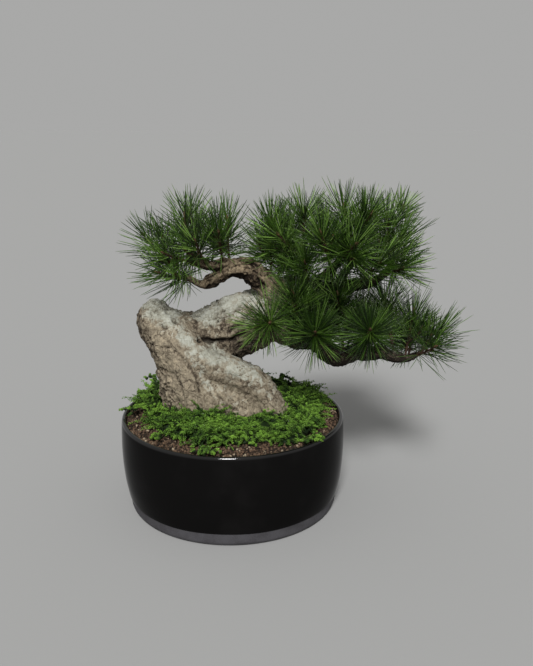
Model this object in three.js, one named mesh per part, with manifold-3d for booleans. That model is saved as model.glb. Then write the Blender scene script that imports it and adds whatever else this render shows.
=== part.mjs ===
// A pine bonsai in a round glazed pot: one old trunk that leans left, turns back on itself and
// carries three tiers of needle shoots, in soil with a carpet of moss, over gravel, drain screens
// and a tie wire. Millimetres, +Z up, +X to the right and +Y to the back. The origin is the
// centre of the pot's underside, on the surface that the pot stands on.

import * as THREE from 'three';
import { mergeVertices } from 'three/addons/utils/BufferGeometryUtils.js';
import Module from 'manifold-3d';

const wasm = await Module();
wasm.setup();

// ---------------------------------------------------------------- driving dimensions

const GAP = 0.3;                     // clearance between pieces that touch
const CUT = GAP + 0.06;              // the same for a piece cut by its neighbour, at the facets' corners
const POT_RADIUS = 100;
const POT_HEIGHT = 81.5;
const POT_WALL = 5;
const POT_FLOOR = 7;                 // top of the floor above the surface
const POT_BULGE = 0.8;               // how much wider the wall is in the middle than under the rim
const POT_SEGMENTS = 48;
const FILL_SEGMENTS = 36;            // of the gravel and the soil
const FOOT_RADIUS = 92;
const FOOT_WIDTH = 20;               // width of the outer foot ring
const FOOT_LIFT = 2.5;               // depth of the hollow between foot ring and middle pad
const PAD_RADIUS = 26;               // round pad in the middle of the underside
const BARE_BAND = 11;                // height of the unglazed band above the surface
const BAND_RADIUS = 94.3;            // of the bare body where the glaze starts
const GLAZE = 0.6;                   // the glaze stands this proud of the bare band

const DRAIN_RADIUS = 6;
const DRAIN_SIDES = 16;
const DRAIN_PITCH_RADIUS = 48;       // the drain holes' distance from the centre
const DRAIN_ANGLES = [30, 150, 270];
const SCREEN_SIDE = 22;
const SCREEN_THICKNESS = 1;
const SCREEN_HOLE = 3.6;
const SCREEN_PITCH = 6;

const GRAVEL_TOP = 18;
const COVE = 12;                     // height and width of the curve between floor and inner wall
const SOIL_EDGE = 77.5;              // height of the soil at the pot's wall
const SOIL_RISE = 7;                 // how much higher the mound is in the middle
const WIRE_RADIUS = 0.8;
const WIRE_SIDES = 6;
const WIRE_STEPS = 48;

const LIMB_SIDES = 9;                // of the thick limbs
const TWIG_SIDES = 6;
const TWIG_LIMIT = 7;                // a limb whose thickest station is below this radius is a twig
const LIMB_END = 0.45;               // a limb's blunt end stands out this part of its radius
const LIMB_END_WIDTH = 0.55;         // and its flat middle is this part of its radius wide

const STEM_RADIUS = 1.25;            // of a needle shoot at its base
const STEM_TIP_RADIUS = 0.8;
const STEM_SIDES = 5;
const NEEDLE_LENGTH = 30;
const NEEDLE_BAND = 1.3;             // width along the stem of the band that a whorl stands on
const NEEDLE_ROOM = 0.75;            // radius kept free round a needle at its root
const WHORL_PITCH = 7.2;
const WHORL_TURN = 0.63;             // each whorl is turned this far, in radians, from the last
const WHORL_LEAN = [74, 26];         // degrees from the stem, in the lowest and the highest whorl
const BARE_STEM = 9;                 // stem without needles next to the wood
const LEAN_SPREAD = 8;               // degrees
const NEEDLE_LIFT = 0.12;            // how much a needle turns up
const LONGEST = 1.08;                // part of the needle length that the longest needles have
const LENGTH_SPREAD = 0.2;
const SHORTER = 0.86;                // where needles cross, one is cut down by this until it is clear
const SHORTEST_NEEDLE = 9;
const STEM_SAG = 0.05;               // a stem dips by this part of its length before it turns up
const LEADER = 6;                    // length of the bud point on a stem's tip

const MOSS_SECTORS = 8;
const MOSS_INNER = 18;
const MOSS_THICKNESS = 9;            // next to the trunk
const MOSS_EDGE = 3;                 // at its outer edge
const MOSS_SHOULDER = 40;            // the moss thins out over this width
const MOSS_SEAM = 0.35;              // degrees left free on each side between two cushions
const MOSS_GRID = { across: 6, outwards: 7 };

// ---------------------------------------------------------------- the tree's shape

// Cross sections of the leaning lower trunk: height, left, right, front and back.
const LOWER_TRUNK = [
  [52, -44, 26, -16, 28],
  [70, -60, 42, -25, 37],
  [86, -65, 46, -30, 39],
  [97, -65, 42, -29, 37],
  [108, -66, 34, -27, 35],
  [120, -67, 20, -24, 33],
  [131, -70, 0, -22, 32],
  [142, -75, -22, -20, 31],
  [152, -80, -36, -18, 30],
  [162, -84, -46, -16, 29],
  [172, -83, -52, -13, 27],
  [179, -78, -56, -7, 22],
  [183, -73, -62, 2, 14],
];
const LOWER_TRUNK_SIDES = 16;

// Limbs as stations of x, y, z and radius, from the thick end to the thin one.
const LIMBS = {
  rib_crest: [[-61, -3, 163, 12], [-51, -5, 155, 14], [-42, -8, 146.5, 15], [-24, -10, 131.5, 15.5],
    [-3, -11, 121.5, 15.5], [15, -11, 111.5, 15.5], [26, -10, 101, 15.5], [33.5, -9, 90, 15],
    [36, -8, 70, 15]],
  rib_front: [[-50, -8, 148, 14], [-38, -12, 128, 15.5], [-32, -14, 106, 16.5], [-29, -16, 86, 17],
    [-28, -14, 70, 16]],
  arm: [[-62, 6, 158, 20], [-45, 12, 149, 23], [-28, 18, 144.5, 25], [-10, 21, 148.5, 26.5],
    [6, 21, 156.5, 28], [22, 18, 162, 26], [36, 14, 166, 22], [46, 12, 163, 17]],
  arm_knobs: [[-10, 16, 176, 5], [-3, 14, 181, 5.5], [8, 15, 182.5, 6]],
  neck: [[30, 15, 165, 20], [36, 12, 180, 16], [37, 10, 192, 12.5], [34, 9, 200, 10]],
  left_branch: [[37, 10, 190, 12], [27, 8, 202, 10.5], [13, 7, 211, 10.5], [2, 6, 210.5, 9],
    [-8, 6, 206, 6.8], [-17, 5, 201, 6], [-24, 5, 197.5, 4.2], [-32, 3, 200.5, 3], [-42, 0, 208, 2.2]],
  left_side: [[4, 6, 214, 6], [-5, 3, 217, 5], [-16, 0, 215, 4], [-27, -3, 217, 3.2], [-38, -5, 221, 2.3]],
  left_back: [[-6, 8, 207, 5], [-14, 16, 209, 3.8], [-24, 24, 214, 3], [-34, 30, 221, 2.3]],
  crown_branch: [[35, 11, 190, 11.5], [48, 10, 195, 9], [64, 9, 194, 7.8], [82, 8, 192, 7],
    [100, 9, 195, 6], [116, 9, 197.5, 5], [128, 9, 202, 4], [137, 8, 208, 2.8]],
  crown_left: [[56, 9, 196, 5], [58, 6, 208, 3.6], [61, 3, 222, 2.8], [61, 2, 236, 2.2]],
  crown_middle: [[84, 8, 194, 5], [88, 6, 208, 3.8], [94, 3, 222, 3], [97, 2, 234, 2.2]],
  crown_front: [[72, 8, 194, 4.5], [76, -2, 204, 3.4], [84, -10, 214, 2.8], [92, -14, 224, 2.2]],
  crown_back: [[92, 9, 195, 5], [100, 18, 206, 3.8], [112, 26, 218, 3.2], [126, 29, 228, 2.7],
    [141, 28, 239, 2.2]],
  low_branch: [[40, 13, 161, 18], [58, 7, 151, 14], [75, 2, 147, 10.5], [86, 0, 136.5, 9],
    [97, 0, 134, 8.5], [108, -1, 138, 7.2], [120, 0, 135.5, 7], [131, 0, 138, 5.8],
    [144, 0, 133.5, 5.2], [156, 0, 132, 3.6], [164, -1, 137, 2.4]],
  low_left: [[50, 9, 154, 6], [56, -6, 152, 4.4], [64, -16, 153, 3.2], [71, -22, 156, 2.4]],
  low_front: [[109, 0, 138, 4.6], [113, -9, 144, 3.2], [118, -20, 155, 2.4]],
  low_back: [[64, 5, 150, 6], [76, 16, 150, 4.2], [92, 24, 150, 3.2], [108, 30, 152, 2.5]],
  root_left: [[-40, 5, 74, 15], [-58, -2, 66, 9], [-72, -8, 58, 5], [-80, -14, 46, 3]],
  root_front: [[-4, -14, 74, 14], [-8, -38, 65, 9], [-14, -58, 55, 5], [-16, -68, 42, 3]],
  root_right: [[30, 0, 74, 14], [50, -10, 66, 9], [64, -24, 56, 5], [72, -34, 44, 3]],
  root_back: [[-8, 22, 72, 14], [0, 44, 64, 9], [14, 60, 54, 5], [22, 68, 42, 3]],
};

// Needle shoots by tier: the limb, how far along it the shoot grows, and where its tip is.
const SHOOTS = {
  left: [
    ['left_side', 0.97, [-38, -3, 257]],
    ['left_branch', 1, [-73, 0, 240]],
    ['left_branch', 0.9, [-59, -18, 212]],
    ['left_branch', 0.84, [-49, 15, 203]],
    ['left_side', 0.62, [-27, -30, 240]],
    ['left_side', 0.86, [-52, -32, 231]],
    ['left_branch', 0.42, [-3, 3, 253]],
    ['left_back', 1, [-37, 36, 254]],
    ['left_back', 0.8, [-64, 42, 234]],
    ['left_back', 0.5, [-12, 40, 244]],
    ['left_side', 0.3, [-9, -22, 246]],
  ],
  crown: [
    ['neck', 0.98, [34, 0, 252]],
    ['crown_branch', 0.06, [42, 38, 234]],
    ['crown_left', 1, [62, -3, 260]],
    ['crown_left', 0.6, [41, -16, 243]],
    ['crown_front', 0.72, [74, -32, 247]],
    ['crown_middle', 1, [95, 2, 263]],
    ['crown_front', 1, [101, -43, 240]],
    ['crown_branch', 1, [132, 1, 255]],
    ['crown_back', 1, [149, 28, 260]],
    ['crown_branch', 0.97, [144, -8, 214]],
    ['crown_branch', 0.9, [148, 18, 238]],
    ['crown_branch', 0.3, [62, -26, 222]],
    ['crown_back', 0.35, [78, 44, 246]],
    ['crown_back', 0.72, [118, 48, 252]],
    ['crown_middle', 0.6, [116, -10, 259]],
    ['crown_left', 0.3, [50, 34, 246]],
    ['crown_branch', 0.64, [122, -30, 222]],
    ['crown_back', 0.5, [104, 52, 224]],
  ],
  low: [
    ['low_branch', 1, [182, -5, 157]],
    ['low_branch', 0.94, [172, -27, 150]],
    ['low_front', 1, [115, -45, 170]],
    ['low_left', 1, [70, -45, 168]],
    ['arm', 0.84, [33, -44, 176]],
    ['low_branch', 0.5, [107, -12, 166]],
    ['low_branch', 0.42, [90, -20, 193]],
    ['low_branch', 0.8, [135, 16, 180]],
    ['low_back', 1, [122, 50, 164]],
    ['low_back', 0.6, [88, 52, 174]],
    ['low_branch', 0.9, [164, 32, 154]],
    ['low_branch', 0.87, [159, 3, 173]],
    ['low_left', 0.5, [52, -28, 196]],
    ['low_back', 0.25, [60, 46, 176]],
  ],
};

// How far the moss reaches from the centre, by angle in degrees.
const MOSS_REACH = [[0, 78], [10, 83], [22, 91], [90, 92], [150, 92], [172, 89], [187, 83], [199, 81],
  [213, 84], [232, 84], [238, 77], [251, 83], [264, 75], [276, 81], [289, 77], [296, 83], [306, 90],
  [318, 91], [330, 88], [342, 81], [352, 77], [360, 78]];
const MOSS_HUMP = { angle: 158, reach: 62, height: 12, width: 26 };   // beside the trunk, back left

// The tie wire's route, from its end over the left root, out under the pot and back.
const TIE_WIRE = [[-60, 24, 60], [-62, 28, 48], [-50, 25, 28], [-43, 24.4, 14], [-41.8, 24.2, 7],
  [-40.4, 24.2, 3.4], [-36, 25, 1.2], [-20, 29, 1.2], [0, 31.5, 1.2], [20, 29, 1.2], [36, 25, 1.2],
  [40.4, 24.2, 3.4], [41.8, 24.2, 7], [43, 24.4, 14], [50, 27, 28], [60, 30, 48], [56, 24, 60]];

// ---------------------------------------------------------------- finishes

const finish = (color, roughness, metalness = 0) =>
  new THREE.MeshStandardMaterial({ color, roughness, metalness, flatShading: true });
const GLAZED_BLACK = finish(0x141314, 0.25);
const BARK = finish(0x8a8072, 0.95);
const NEEDLES = finish(0x2f4f2a, 0.6);
const MOSS = finish(0x4f8a2c, 0.95);
const SOIL = finish(0x4a2c22, 0.95);
const GRAVEL = finish(0x8d857a, 0.9);
const SCREEN = finish(0x23282a, 0.6);
const WIRE = finish(0x9a7a5a, 0.4, 1);

// ---------------------------------------------------------------- helpers

const radians = THREE.MathUtils.degToRad;

// A small repeatable source of numbers between 0 and 1.
function seeded(seed) {
  let state = seed;
  return () => {
    state = (state * 1664525 + 1013904223) >>> 0;
    return state / 4294967296;
  };
}

// Turns a closed geometry into a solid that can be joined and cut.
function solid(geometry) {
  const bare = geometry.clone();
  bare.deleteAttribute('normal');
  bare.deleteAttribute('uv');
  const merged = mergeVertices(bare, 1e-4);
  const corners = merged.index.array;
  const kept = [];
  for (let i = 0; i < corners.length; i += 3) {
    const [a, b, c] = [corners[i], corners[i + 1], corners[i + 2]];
    if (a !== b && b !== c && c !== a) kept.push(a, b, c);
  }
  return new wasm.Manifold(new wasm.Mesh({
    numProp: 3,
    vertProperties: new Float32Array(merged.attributes.position.array),
    triVerts: new Uint32Array(kept),
  }));
}

// Turns a solid back into a geometry.
function geometryOf(body) {
  const { vertProperties, triVerts } = body.getMesh();
  return surface(Array.from(vertProperties), Array.from(triVerts));
}

// A geometry from flat lists of coordinates and triangle corners.
function surface(coordinates, triangles) {
  const geometry = new THREE.BufferGeometry();
  geometry.setAttribute('position', new THREE.Float32BufferAttribute(coordinates, 3));
  geometry.setIndex(triangles);
  geometry.computeVertexNormals();
  return geometry;
}

// The largest of the separate bodies that a cut leaves.
function largest(body) {
  return body.decompose().reduce((best, piece) => (piece.volume() > best.volume() ? piece : best));
}

// A solid of revolution about Z from a profile of radius and height pairs.
function turned(profile, segments) {
  const points = profile.map(([radius, height]) => new THREE.Vector2(radius, height));
  return new THREE.LatheGeometry(points, segments).rotateX(Math.PI / 2);
}

// The middle of some points.
function middleOf(points) {
  return points.reduce((sum, point) => sum.add(point), new THREE.Vector3()).divideScalar(points.length);
}

// Skins a row of rings, each a list of points, and closes both ends with a fan to its centre.
function skinned(rings) {
  const coordinates = [];
  const triangles = [];
  const sides = rings[0].length;
  rings.forEach((ring) => ring.forEach((point) => coordinates.push(...point.toArray())));
  for (let row = 0; row + 1 < rings.length; row += 1) {
    for (let side = 0; side < sides; side += 1) {
      const next = (side + 1) % sides;
      const [a, b] = [row * sides + side, row * sides + next];
      triangles.push(a, b, b + sides, a, b + sides, a + sides);
    }
  }
  [[rings[0], 0, true], [rings.at(-1), (rings.length - 1) * sides, false]].forEach(([ring, start, first]) => {
    const middle = coordinates.length / 3;
    coordinates.push(...middleOf(ring).toArray());
    for (let side = 0; side < sides; side += 1) {
      const [a, b] = [start + side, start + ((side + 1) % sides)];
      triangles.push(...(first ? [middle, b, a] : [middle, a, b]));
    }
  });
  return surface(coordinates, triangles);
}

// Two directions square to a tangent, the first as level as it can be.
function crossAxes(tangent) {
  const guide = Math.abs(tangent.z) > 0.9 ? new THREE.Vector3(0, 1, 0) : new THREE.Vector3(0, 0, 1);
  const across = new THREE.Vector3().crossVectors(guide, tangent).normalize();
  return [across, new THREE.Vector3().crossVectors(tangent, across)];
}

// A ring of points round a centre, square to a tangent.
function ringAt(centre, tangent, radius, sides, twist = 0) {
  const [across, along] = crossAxes(tangent);
  return Array.from({ length: sides }, (_, side) => {
    const angle = twist + (2 * Math.PI * side) / sides;
    return centre.clone()
      .addScaledVector(across, radius * Math.cos(angle))
      .addScaledVector(along, radius * Math.sin(angle));
  });
}

// ---------------------------------------------------------------- pot and filling

// The pot: its underside, foot and bare band, glazed outer wall, rounded rim and hollow.
function potSolid() {
  const inside = POT_RADIUS - POT_WALL;
  const ringInner = FOOT_RADIUS - FOOT_WIDTH;
  const underside = [[0, 0], [PAD_RADIUS, 0], [PAD_RADIUS + FOOT_LIFT, FOOT_LIFT],
    [ringInner - FOOT_LIFT, FOOT_LIFT], [ringInner, 0], [FOOT_RADIUS, 0]];
  const bareBand = [[FOOT_RADIUS + 1.5, 2.8], [BAND_RADIUS, BARE_BAND]];
  const glazedWall = [[BAND_RADIUS + GLAZE, BARE_BAND + GLAZE], [POT_RADIUS - 1.9, 26],
    [POT_RADIUS - 0.4, 42], [POT_RADIUS, 58], [POT_RADIUS - POT_BULGE, POT_HEIGHT - 3]];
  const rim = [[POT_RADIUS - 1.6, POT_HEIGHT - 0.8], [POT_RADIUS - 2.8, POT_HEIGHT],
    [inside + 0.9, POT_HEIGHT - 0.5], [inside, POT_HEIGHT - 2.4]];
  const hollow = [[inside, 2 * COVE], [inside - COVE / 3, COVE], [inside - COVE, POT_FLOOR], [0, POT_FLOOR]];
  const body = solid(turned([...underside, ...bareBand, ...glazedWall, ...rim, ...hollow], POT_SEGMENTS));
  return DRAIN_ANGLES.reduce((pot, angle) => {
    const drill = new THREE.CylinderGeometry(DRAIN_RADIUS, DRAIN_RADIUS, 3 * POT_FLOOR, DRAIN_SIDES)
      .rotateX(Math.PI / 2)
      .translate(...drainPlace(angle), POT_FLOOR / 2);
    return pot.subtract(solid(drill));
  }, body);
}

// Where a drain hole is, seen from above.
function drainPlace(angle) {
  return [DRAIN_PITCH_RADIUS * Math.cos(radians(angle)), DRAIN_PITCH_RADIUS * Math.sin(radians(angle))];
}

// A square plastic screen with a grid of square holes.
function screenSolid() {
  const plate = new THREE.BoxGeometry(SCREEN_SIDE, SCREEN_SIDE, SCREEN_THICKNESS);
  let screen = solid(plate);
  for (let column = -1; column <= 1; column += 1) {
    for (let row = -1; row <= 1; row += 1) {
      const punch = new THREE.BoxGeometry(SCREEN_HOLE, SCREEN_HOLE, 2 * SCREEN_THICKNESS);
      punch.translate(column * SCREEN_PITCH, row * SCREEN_PITCH, 0);
      screen = screen.subtract(solid(punch));
    }
  }
  return screen;
}

// The tie wire as a round bar of a given radius along its route.
function wireSolid(radius) {
  const route = new THREE.CatmullRomCurve3(TIE_WIRE.map((point) => new THREE.Vector3(...point)));
  const section = new THREE.Shape(Array.from({ length: WIRE_SIDES }, (_, side) => {
    const angle = (2 * Math.PI * side) / WIRE_SIDES;
    return new THREE.Vector2(radius * Math.cos(angle), radius * Math.sin(angle));
  }));
  return solid(new THREE.ExtrudeGeometry(section, { steps: WIRE_STEPS, extrudePath: route }));
}

// The height of the soil's mound at a distance from the centre.
function soilHeight(radius) {
  return SOIL_EDGE + SOIL_RISE * (1 - (radius / POT_RADIUS) ** 2);
}

// The layer of gravel, on the screens and clear of the curved corner of the pot.
function gravelSolid() {
  const inside = POT_RADIUS - POT_WALL;
  const bottom = POT_FLOOR + SCREEN_THICKNESS + 2 * GAP;
  return solid(turned([
    [0, bottom], [inside - COVE + 0.5, bottom], [inside - COVE / 3 - 0.6, COVE + 0.6],
    [inside - 2.6, GRAVEL_TOP], [0, GRAVEL_TOP],
  ], FILL_SEGMENTS));
}

// The soil, from the gravel up to a mound that is highest in the middle.
function soilSolid() {
  const edge = POT_RADIUS - POT_WALL - GAP;
  const top = [1, 0.75, 0.5, 0].map((part) => [part * edge, soilHeight(part * edge)]);
  return solid(turned([
    [0, GRAVEL_TOP + GAP], [edge - 2.1, GRAVEL_TOP + GAP], [edge, 2 * COVE + 0.5], ...top,
  ], FILL_SEGMENTS));
}

// ---------------------------------------------------------------- moss

// How far the moss reaches at an angle, between the two nearest entries of the list.
function mossReach(angle) {
  const after = Math.max(1, MOSS_REACH.findIndex(([limit]) => limit >= angle));
  const [[lowAngle, low], [highAngle, high]] = MOSS_REACH.slice(after - 1, after + 1);
  return THREE.MathUtils.mapLinear(angle, lowAngle, highAngle, low, high);
}

function mossThickness(radius, angle) {
  const share = Math.max(0, Math.min(1, (mossReach(angle) - radius) / MOSS_SHOULDER));
  const turn = radians(angle - MOSS_HUMP.angle);
  const away = Math.hypot(radius * Math.cos(turn) - MOSS_HUMP.reach, radius * Math.sin(turn));
  const hump = MOSS_HUMP.height * Math.exp(-((away / MOSS_HUMP.width) ** 2)) * Math.min(1, 2.5 * share);
  return MOSS_EDGE + (MOSS_THICKNESS - MOSS_EDGE) * Math.sqrt(share) + hump;
}

// One cushion of moss: a slab on the soil between two angles, on a polar grid.
function mossSolid(from, to) {
  const { across, outwards } = MOSS_GRID;
  const bottom = [];
  const top = [];
  for (let turn = 0; turn <= across; turn += 1) {
    const angle = THREE.MathUtils.lerp(from, to, turn / across);
    for (let ring = 0; ring <= outwards; ring += 1) {
      const radius = THREE.MathUtils.lerp(MOSS_INNER, mossReach(angle), ring / outwards);
      const ground = soilHeight(radius) + 2 * GAP;
      const spot = [radius * Math.cos(radians(angle)), radius * Math.sin(radians(angle))];
      bottom.push([...spot, ground]);
      top.push([...spot, ground + mossThickness(radius, angle)]);
    }
  }
  const row = outwards + 1;
  const lift = bottom.length;
  const triangles = [];
  const face = (a, b, c, d) => triangles.push(a, b, c, a, c, d);
  for (let turn = 0; turn < across; turn += 1) {
    for (let ring = 0; ring < outwards; ring += 1) {
      const a = turn * row + ring;
      face(a + lift, a + 1 + lift, a + 1 + row + lift, a + row + lift);
      face(a, a + row, a + row + 1, a + 1);
    }
    const inner = turn * row;
    face(inner, inner + lift, inner + row + lift, inner + row);
    const outer = inner + outwards;
    face(outer, outer + row, outer + row + lift, outer + lift);
  }
  const last = across * row;
  for (let ring = 0; ring < outwards; ring += 1) {
    face(ring, ring + 1, ring + 1 + lift, ring + lift);
    face(last + ring, last + ring + lift, last + ring + 1 + lift, last + ring + 1);
  }
  return solid(surface([...bottom, ...top].flat(), triangles));
}

// ---------------------------------------------------------------- wood

// The limb's smooth line and its radius at any part of its length.
function limbPath(stations) {
  const curve = new THREE.CatmullRomCurve3(stations.map(([x, y, z]) => new THREE.Vector3(x, y, z)));
  const radiusAt = (part) => {
    const place = part * (stations.length - 1);
    const index = Math.min(Math.floor(place), stations.length - 2);
    return THREE.MathUtils.lerp(stations[index][3], stations[index + 1][3], place - index);
  };
  return { curve, radiusAt };
}

// A limb as a skin of rings along its line, with a blunt end on each side.
function limbSolid(stations, grow) {
  const { curve, radiusAt } = limbPath(stations);
  const thickest = Math.max(...stations.map((station) => station[3]));
  const sides = thickest < TWIG_LIMIT ? TWIG_SIDES : LIMB_SIDES;
  const steps = stations.length - 1;
  const rings = Array.from({ length: steps + 1 }, (_, step) => {
    const part = step / steps;
    return ringAt(curve.getPoint(part), curve.getTangent(part), radiusAt(part) + grow, sides);
  });
  const bluntEnd = (part, direction) => {
    const tangent = curve.getTangent(part);
    const radius = radiusAt(part) + grow;
    const middle = curve.getPoint(part).addScaledVector(tangent, direction * (LIMB_END * radius + grow));
    return ringAt(middle, tangent, LIMB_END_WIDTH * radius, sides);
  };
  return solid(skinned([bluntEnd(0, -1), ...rings, bluntEnd(1, 1)]));
}

// The leaning lower trunk as a stack of rounded level sections.
function lowerTrunkSolid(grow) {
  const rings = LOWER_TRUNK.map(([height, left, right, front, back], level) => {
    const lift = level === 0 ? -grow : (level === LOWER_TRUNK.length - 1 ? grow : 0);
    const middle = new THREE.Vector3((left + right) / 2, (front + back) / 2, height + lift);
    return Array.from({ length: LOWER_TRUNK_SIDES }, (_, side) => {
      const angle = (2 * Math.PI * side) / LOWER_TRUNK_SIDES;
      const reachX = (right - left) / 2 + 1.4 * grow;
      const reachY = (back - front) / 2 + grow;
      return middle.clone().add(new THREE.Vector3(reachX * Math.cos(angle), reachY * Math.sin(angle), 0));
    });
  });
  return solid(skinned(rings));
}

// All the wood as one piece, or with a margin all round, as the room that it takes up.
function trunkSolid(grow = 0) {
  const limbs = Object.values(LIMBS).map((stations) => limbSolid(stations, grow));
  return limbs.reduce((trunk, limb) => trunk.add(limb), lowerTrunkSolid(grow));
}

// ---------------------------------------------------------------- needle shoots

// How near two segments come, and how far along each that is.
function nearest(first, second) {
  const u = first.end.clone().sub(first.start);
  const v = second.end.clone().sub(second.start);
  const w = first.start.clone().sub(second.start);
  const [a, b, c, d, e] = [u.dot(u), u.dot(v), v.dot(v), u.dot(w), v.dot(w)];
  const clamp = (value) => Math.min(1, Math.max(0, value));
  const span = a * c - b * b;
  let s = span > 1e-9 ? clamp((b * e - c * d) / span) : 0;
  const t = clamp((b * s + e) / c);
  s = clamp((b * t - d) / a);
  const gap = w.addScaledVector(u, s).addScaledVector(v, -t).length();
  return { gap, s, t };
}

// Whether a needle keeps clear of the stems and needles of all other shoots.
function isClear(needle, taken) {
  return taken.every((other) => {
    if (other.owner === needle.owner) return true;
    const { gap, s, t } = nearest(needle, other);
    return gap > needle.rootRoom * (1 - s) + THREE.MathUtils.lerp(other.rootRoom, other.tipRoom, t) + GAP;
  });
}

// A stem's line, from inside its limb, with a slight dip, up to its tip.
function stemLine([limb, part, tip]) {
  const base = limbPath(LIMBS[limb]).curve.getPoint(part);
  const end = new THREE.Vector3(...tip);
  const dip = new THREE.Vector3(0, 0, -STEM_SAG * base.distanceTo(end));
  return new THREE.QuadraticBezierCurve3(base, base.clone().lerp(end, 0.5).add(dip), end);
}

// The point of the bud that ends a stem.
function leaderPoint(stem) {
  return stem.getPoint(1).addScaledVector(stem.getTangent(1), LEADER);
}

// The room that a stem takes up, as two straight stretches.
function stemRoom(stem, owner) {
  const [low, middle, high] = [stem.getPoint(0), stem.getPoint(0.5), leaderPoint(stem)];
  const room = { owner, rootRoom: STEM_RADIUS, tipRoom: STEM_RADIUS };
  return [{ start: low, end: middle, ...room }, { start: middle, end: high, ...room }];
}

// The direction of the needle that grows at a place on the stem's side.
function needleAim(stem, share, root, height, random) {
  const tangent = stem.getTangent(share);
  const outwards = root.clone().sub(stem.getPoint(share)).projectOnPlane(tangent).normalize();
  const lean = radians(THREE.MathUtils.lerp(...WHORL_LEAN, height) + LEAN_SPREAD * (random() - 0.5));
  const upwards = new THREE.Vector3(0, 0, NEEDLE_LIFT);
  outwards.multiplyScalar(Math.sin(lean)).addScaledVector(tangent, Math.cos(lean));
  return outwards.add(upwards).normalize();
}

// The longest needle along an aim that keeps clear of its neighbours, or null where none does.
function clearNeedle(root, aim, owner, taken, random) {
  let reach = NEEDLE_LENGTH * (LONGEST - LENGTH_SPREAD * random());
  while (reach > SHORTEST_NEEDLE) {
    const end = root.clone().addScaledVector(aim, reach);
    const needle = { owner, start: root, end, rootRoom: NEEDLE_ROOM, tipRoom: 0 };
    if (isClear(needle, taken)) return needle;
    reach *= SHORTER;
  }
  return null;
}

// One shoot: a tapering stem whose whorls are bands of faces drawn out into needles, closed all
// round. Its needles are added to the list of what is taken.
function shootSolid(stem, owner, taken, random) {
  const length = stem.getLength();
  const whorls = Math.max(3, Math.round((length - BARE_STEM) / WHORL_PITCH));
  const halfBand = NEEDLE_BAND / 2 / length;
  const ring = (share, twist) => ringAt(stem.getPoint(share), stem.getTangent(share),
    THREE.MathUtils.lerp(STEM_RADIUS, STEM_TIP_RADIUS, share), STEM_SIDES, twist);
  const shares = Array.from({ length: whorls }, (_, whorl) =>
    THREE.MathUtils.lerp(BARE_STEM / length, 1 - 2 * halfBand, whorl / (whorls - 1)));
  const rings = shares.flatMap((share, whorl) =>
    [ring(share - halfBand, whorl * WHORL_TURN), ring(share + halfBand, whorl * WHORL_TURN)]);
  rings.unshift(ring(0, 0));

  const points = rings.flat();
  const coordinates = points.flatMap((point) => point.toArray());
  const triangles = [];
  const flat = ([a, b, c, d]) => triangles.push(a, b, c, a, c, d);
  const spike = (corners, point) => {
    const top = coordinates.length / 3;
    coordinates.push(...point.toArray());
    corners.forEach((corner, index) => triangles.push(corner, corners[(index + 1) % corners.length], top));
  };
  for (let row = 0; row + 1 < rings.length; row += 1) {
    const whorl = (row - 1) / 2;
    for (let side = 0; side < STEM_SIDES; side += 1) {
      const [a, b] = [row * STEM_SIDES + side, row * STEM_SIDES + ((side + 1) % STEM_SIDES)];
      const corners = [a, b, b + STEM_SIDES, a + STEM_SIDES];
      const root = middleOf(corners.map((corner) => points[corner]));
      const onWhorl = Number.isInteger(whorl);
      const aim = onWhorl && needleAim(stem, shares[whorl], root, whorl / (whorls - 1), random);
      const needle = onWhorl && clearNeedle(root, aim, owner, taken, random);
      if (needle) {
        spike(corners, needle.end);
        taken.push(needle);
      } else {
        flat(corners);
      }
    }
  }
  const around = Array.from({ length: STEM_SIDES }, (_, side) => side);
  spike(around.toReversed(), stem.getPoint(0));
  spike(around.map((side) => (rings.length - 1) * STEM_SIDES + side), leaderPoint(stem));
  return solid(surface(coordinates, triangles));
}

// ---------------------------------------------------------------- the whole object

const bonsai = new THREE.Group();

// Adds a named piece to the tree.
function place(name, geometry, material, position = [0, 0, 0], turn = 0) {
  const mesh = new THREE.Mesh(geometry, material);
  mesh.name = name;
  mesh.position.set(...position);
  mesh.rotation.z = turn;
  bonsai.add(mesh);
}

const trunk = trunkSolid();
const trunkRoom = trunkSolid(CUT);
const wireRoom = wireSolid(WIRE_RADIUS + CUT);

place('pot', geometryOf(potSolid()), GLAZED_BLACK);
DRAIN_ANGLES.forEach((angle, index) => {
  const height = POT_FLOOR + GAP + SCREEN_THICKNESS / 2;
  place(`drain_screen_${index + 1}`, geometryOf(screenSolid()), SCREEN, [...drainPlace(angle), height],
    radians(angle));
});
place('drainage_gravel', geometryOf(gravelSolid().subtract(wireRoom)), GRAVEL);
place('tie_wire', geometryOf(wireSolid(WIRE_RADIUS)), WIRE);
place('soil', geometryOf(largest(soilSolid().subtract(trunkRoom).subtract(wireRoom))), SOIL);

const sector = 360 / MOSS_SECTORS;
for (let index = 0; index < MOSS_SECTORS; index += 1) {
  const [from, to] = [index * sector + MOSS_SEAM, (index + 1) * sector - MOSS_SEAM];
  const cushion = mossSolid(from, to).subtract(trunkRoom);
  place(`moss_${index + 1}`, geometryOf(largest(cushion)), MOSS);
}

place('trunk', geometryOf(trunk), BARK);

const shoots = Object.entries(SHOOTS).flatMap(([tier, rows]) =>
  rows.map((row, index) => ({ name: `shoot_${tier}_${index + 1}`, stem: stemLine(row) })));
const taken = shoots.flatMap(({ name, stem }) => stemRoom(stem, name));
const random = seeded(11);
shoots.forEach(({ name, stem }) => {
  const shoot = shootSolid(stem, name, taken, random).subtract(trunkRoom);
  place(name, geometryOf(largest(shoot)), NEEDLES);
});

export default bonsai;
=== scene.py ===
"""The finished look of a pine bonsai in a round glazed pot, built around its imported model.

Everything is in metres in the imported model's frame: +Z up, +X to the right of the front view and +Y to
the back, with the origin on the ground under the middle of the pot. Tables and sizes that are easier to
read in millimetres are multiplied by MM once, where they are used.
"""

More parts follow.
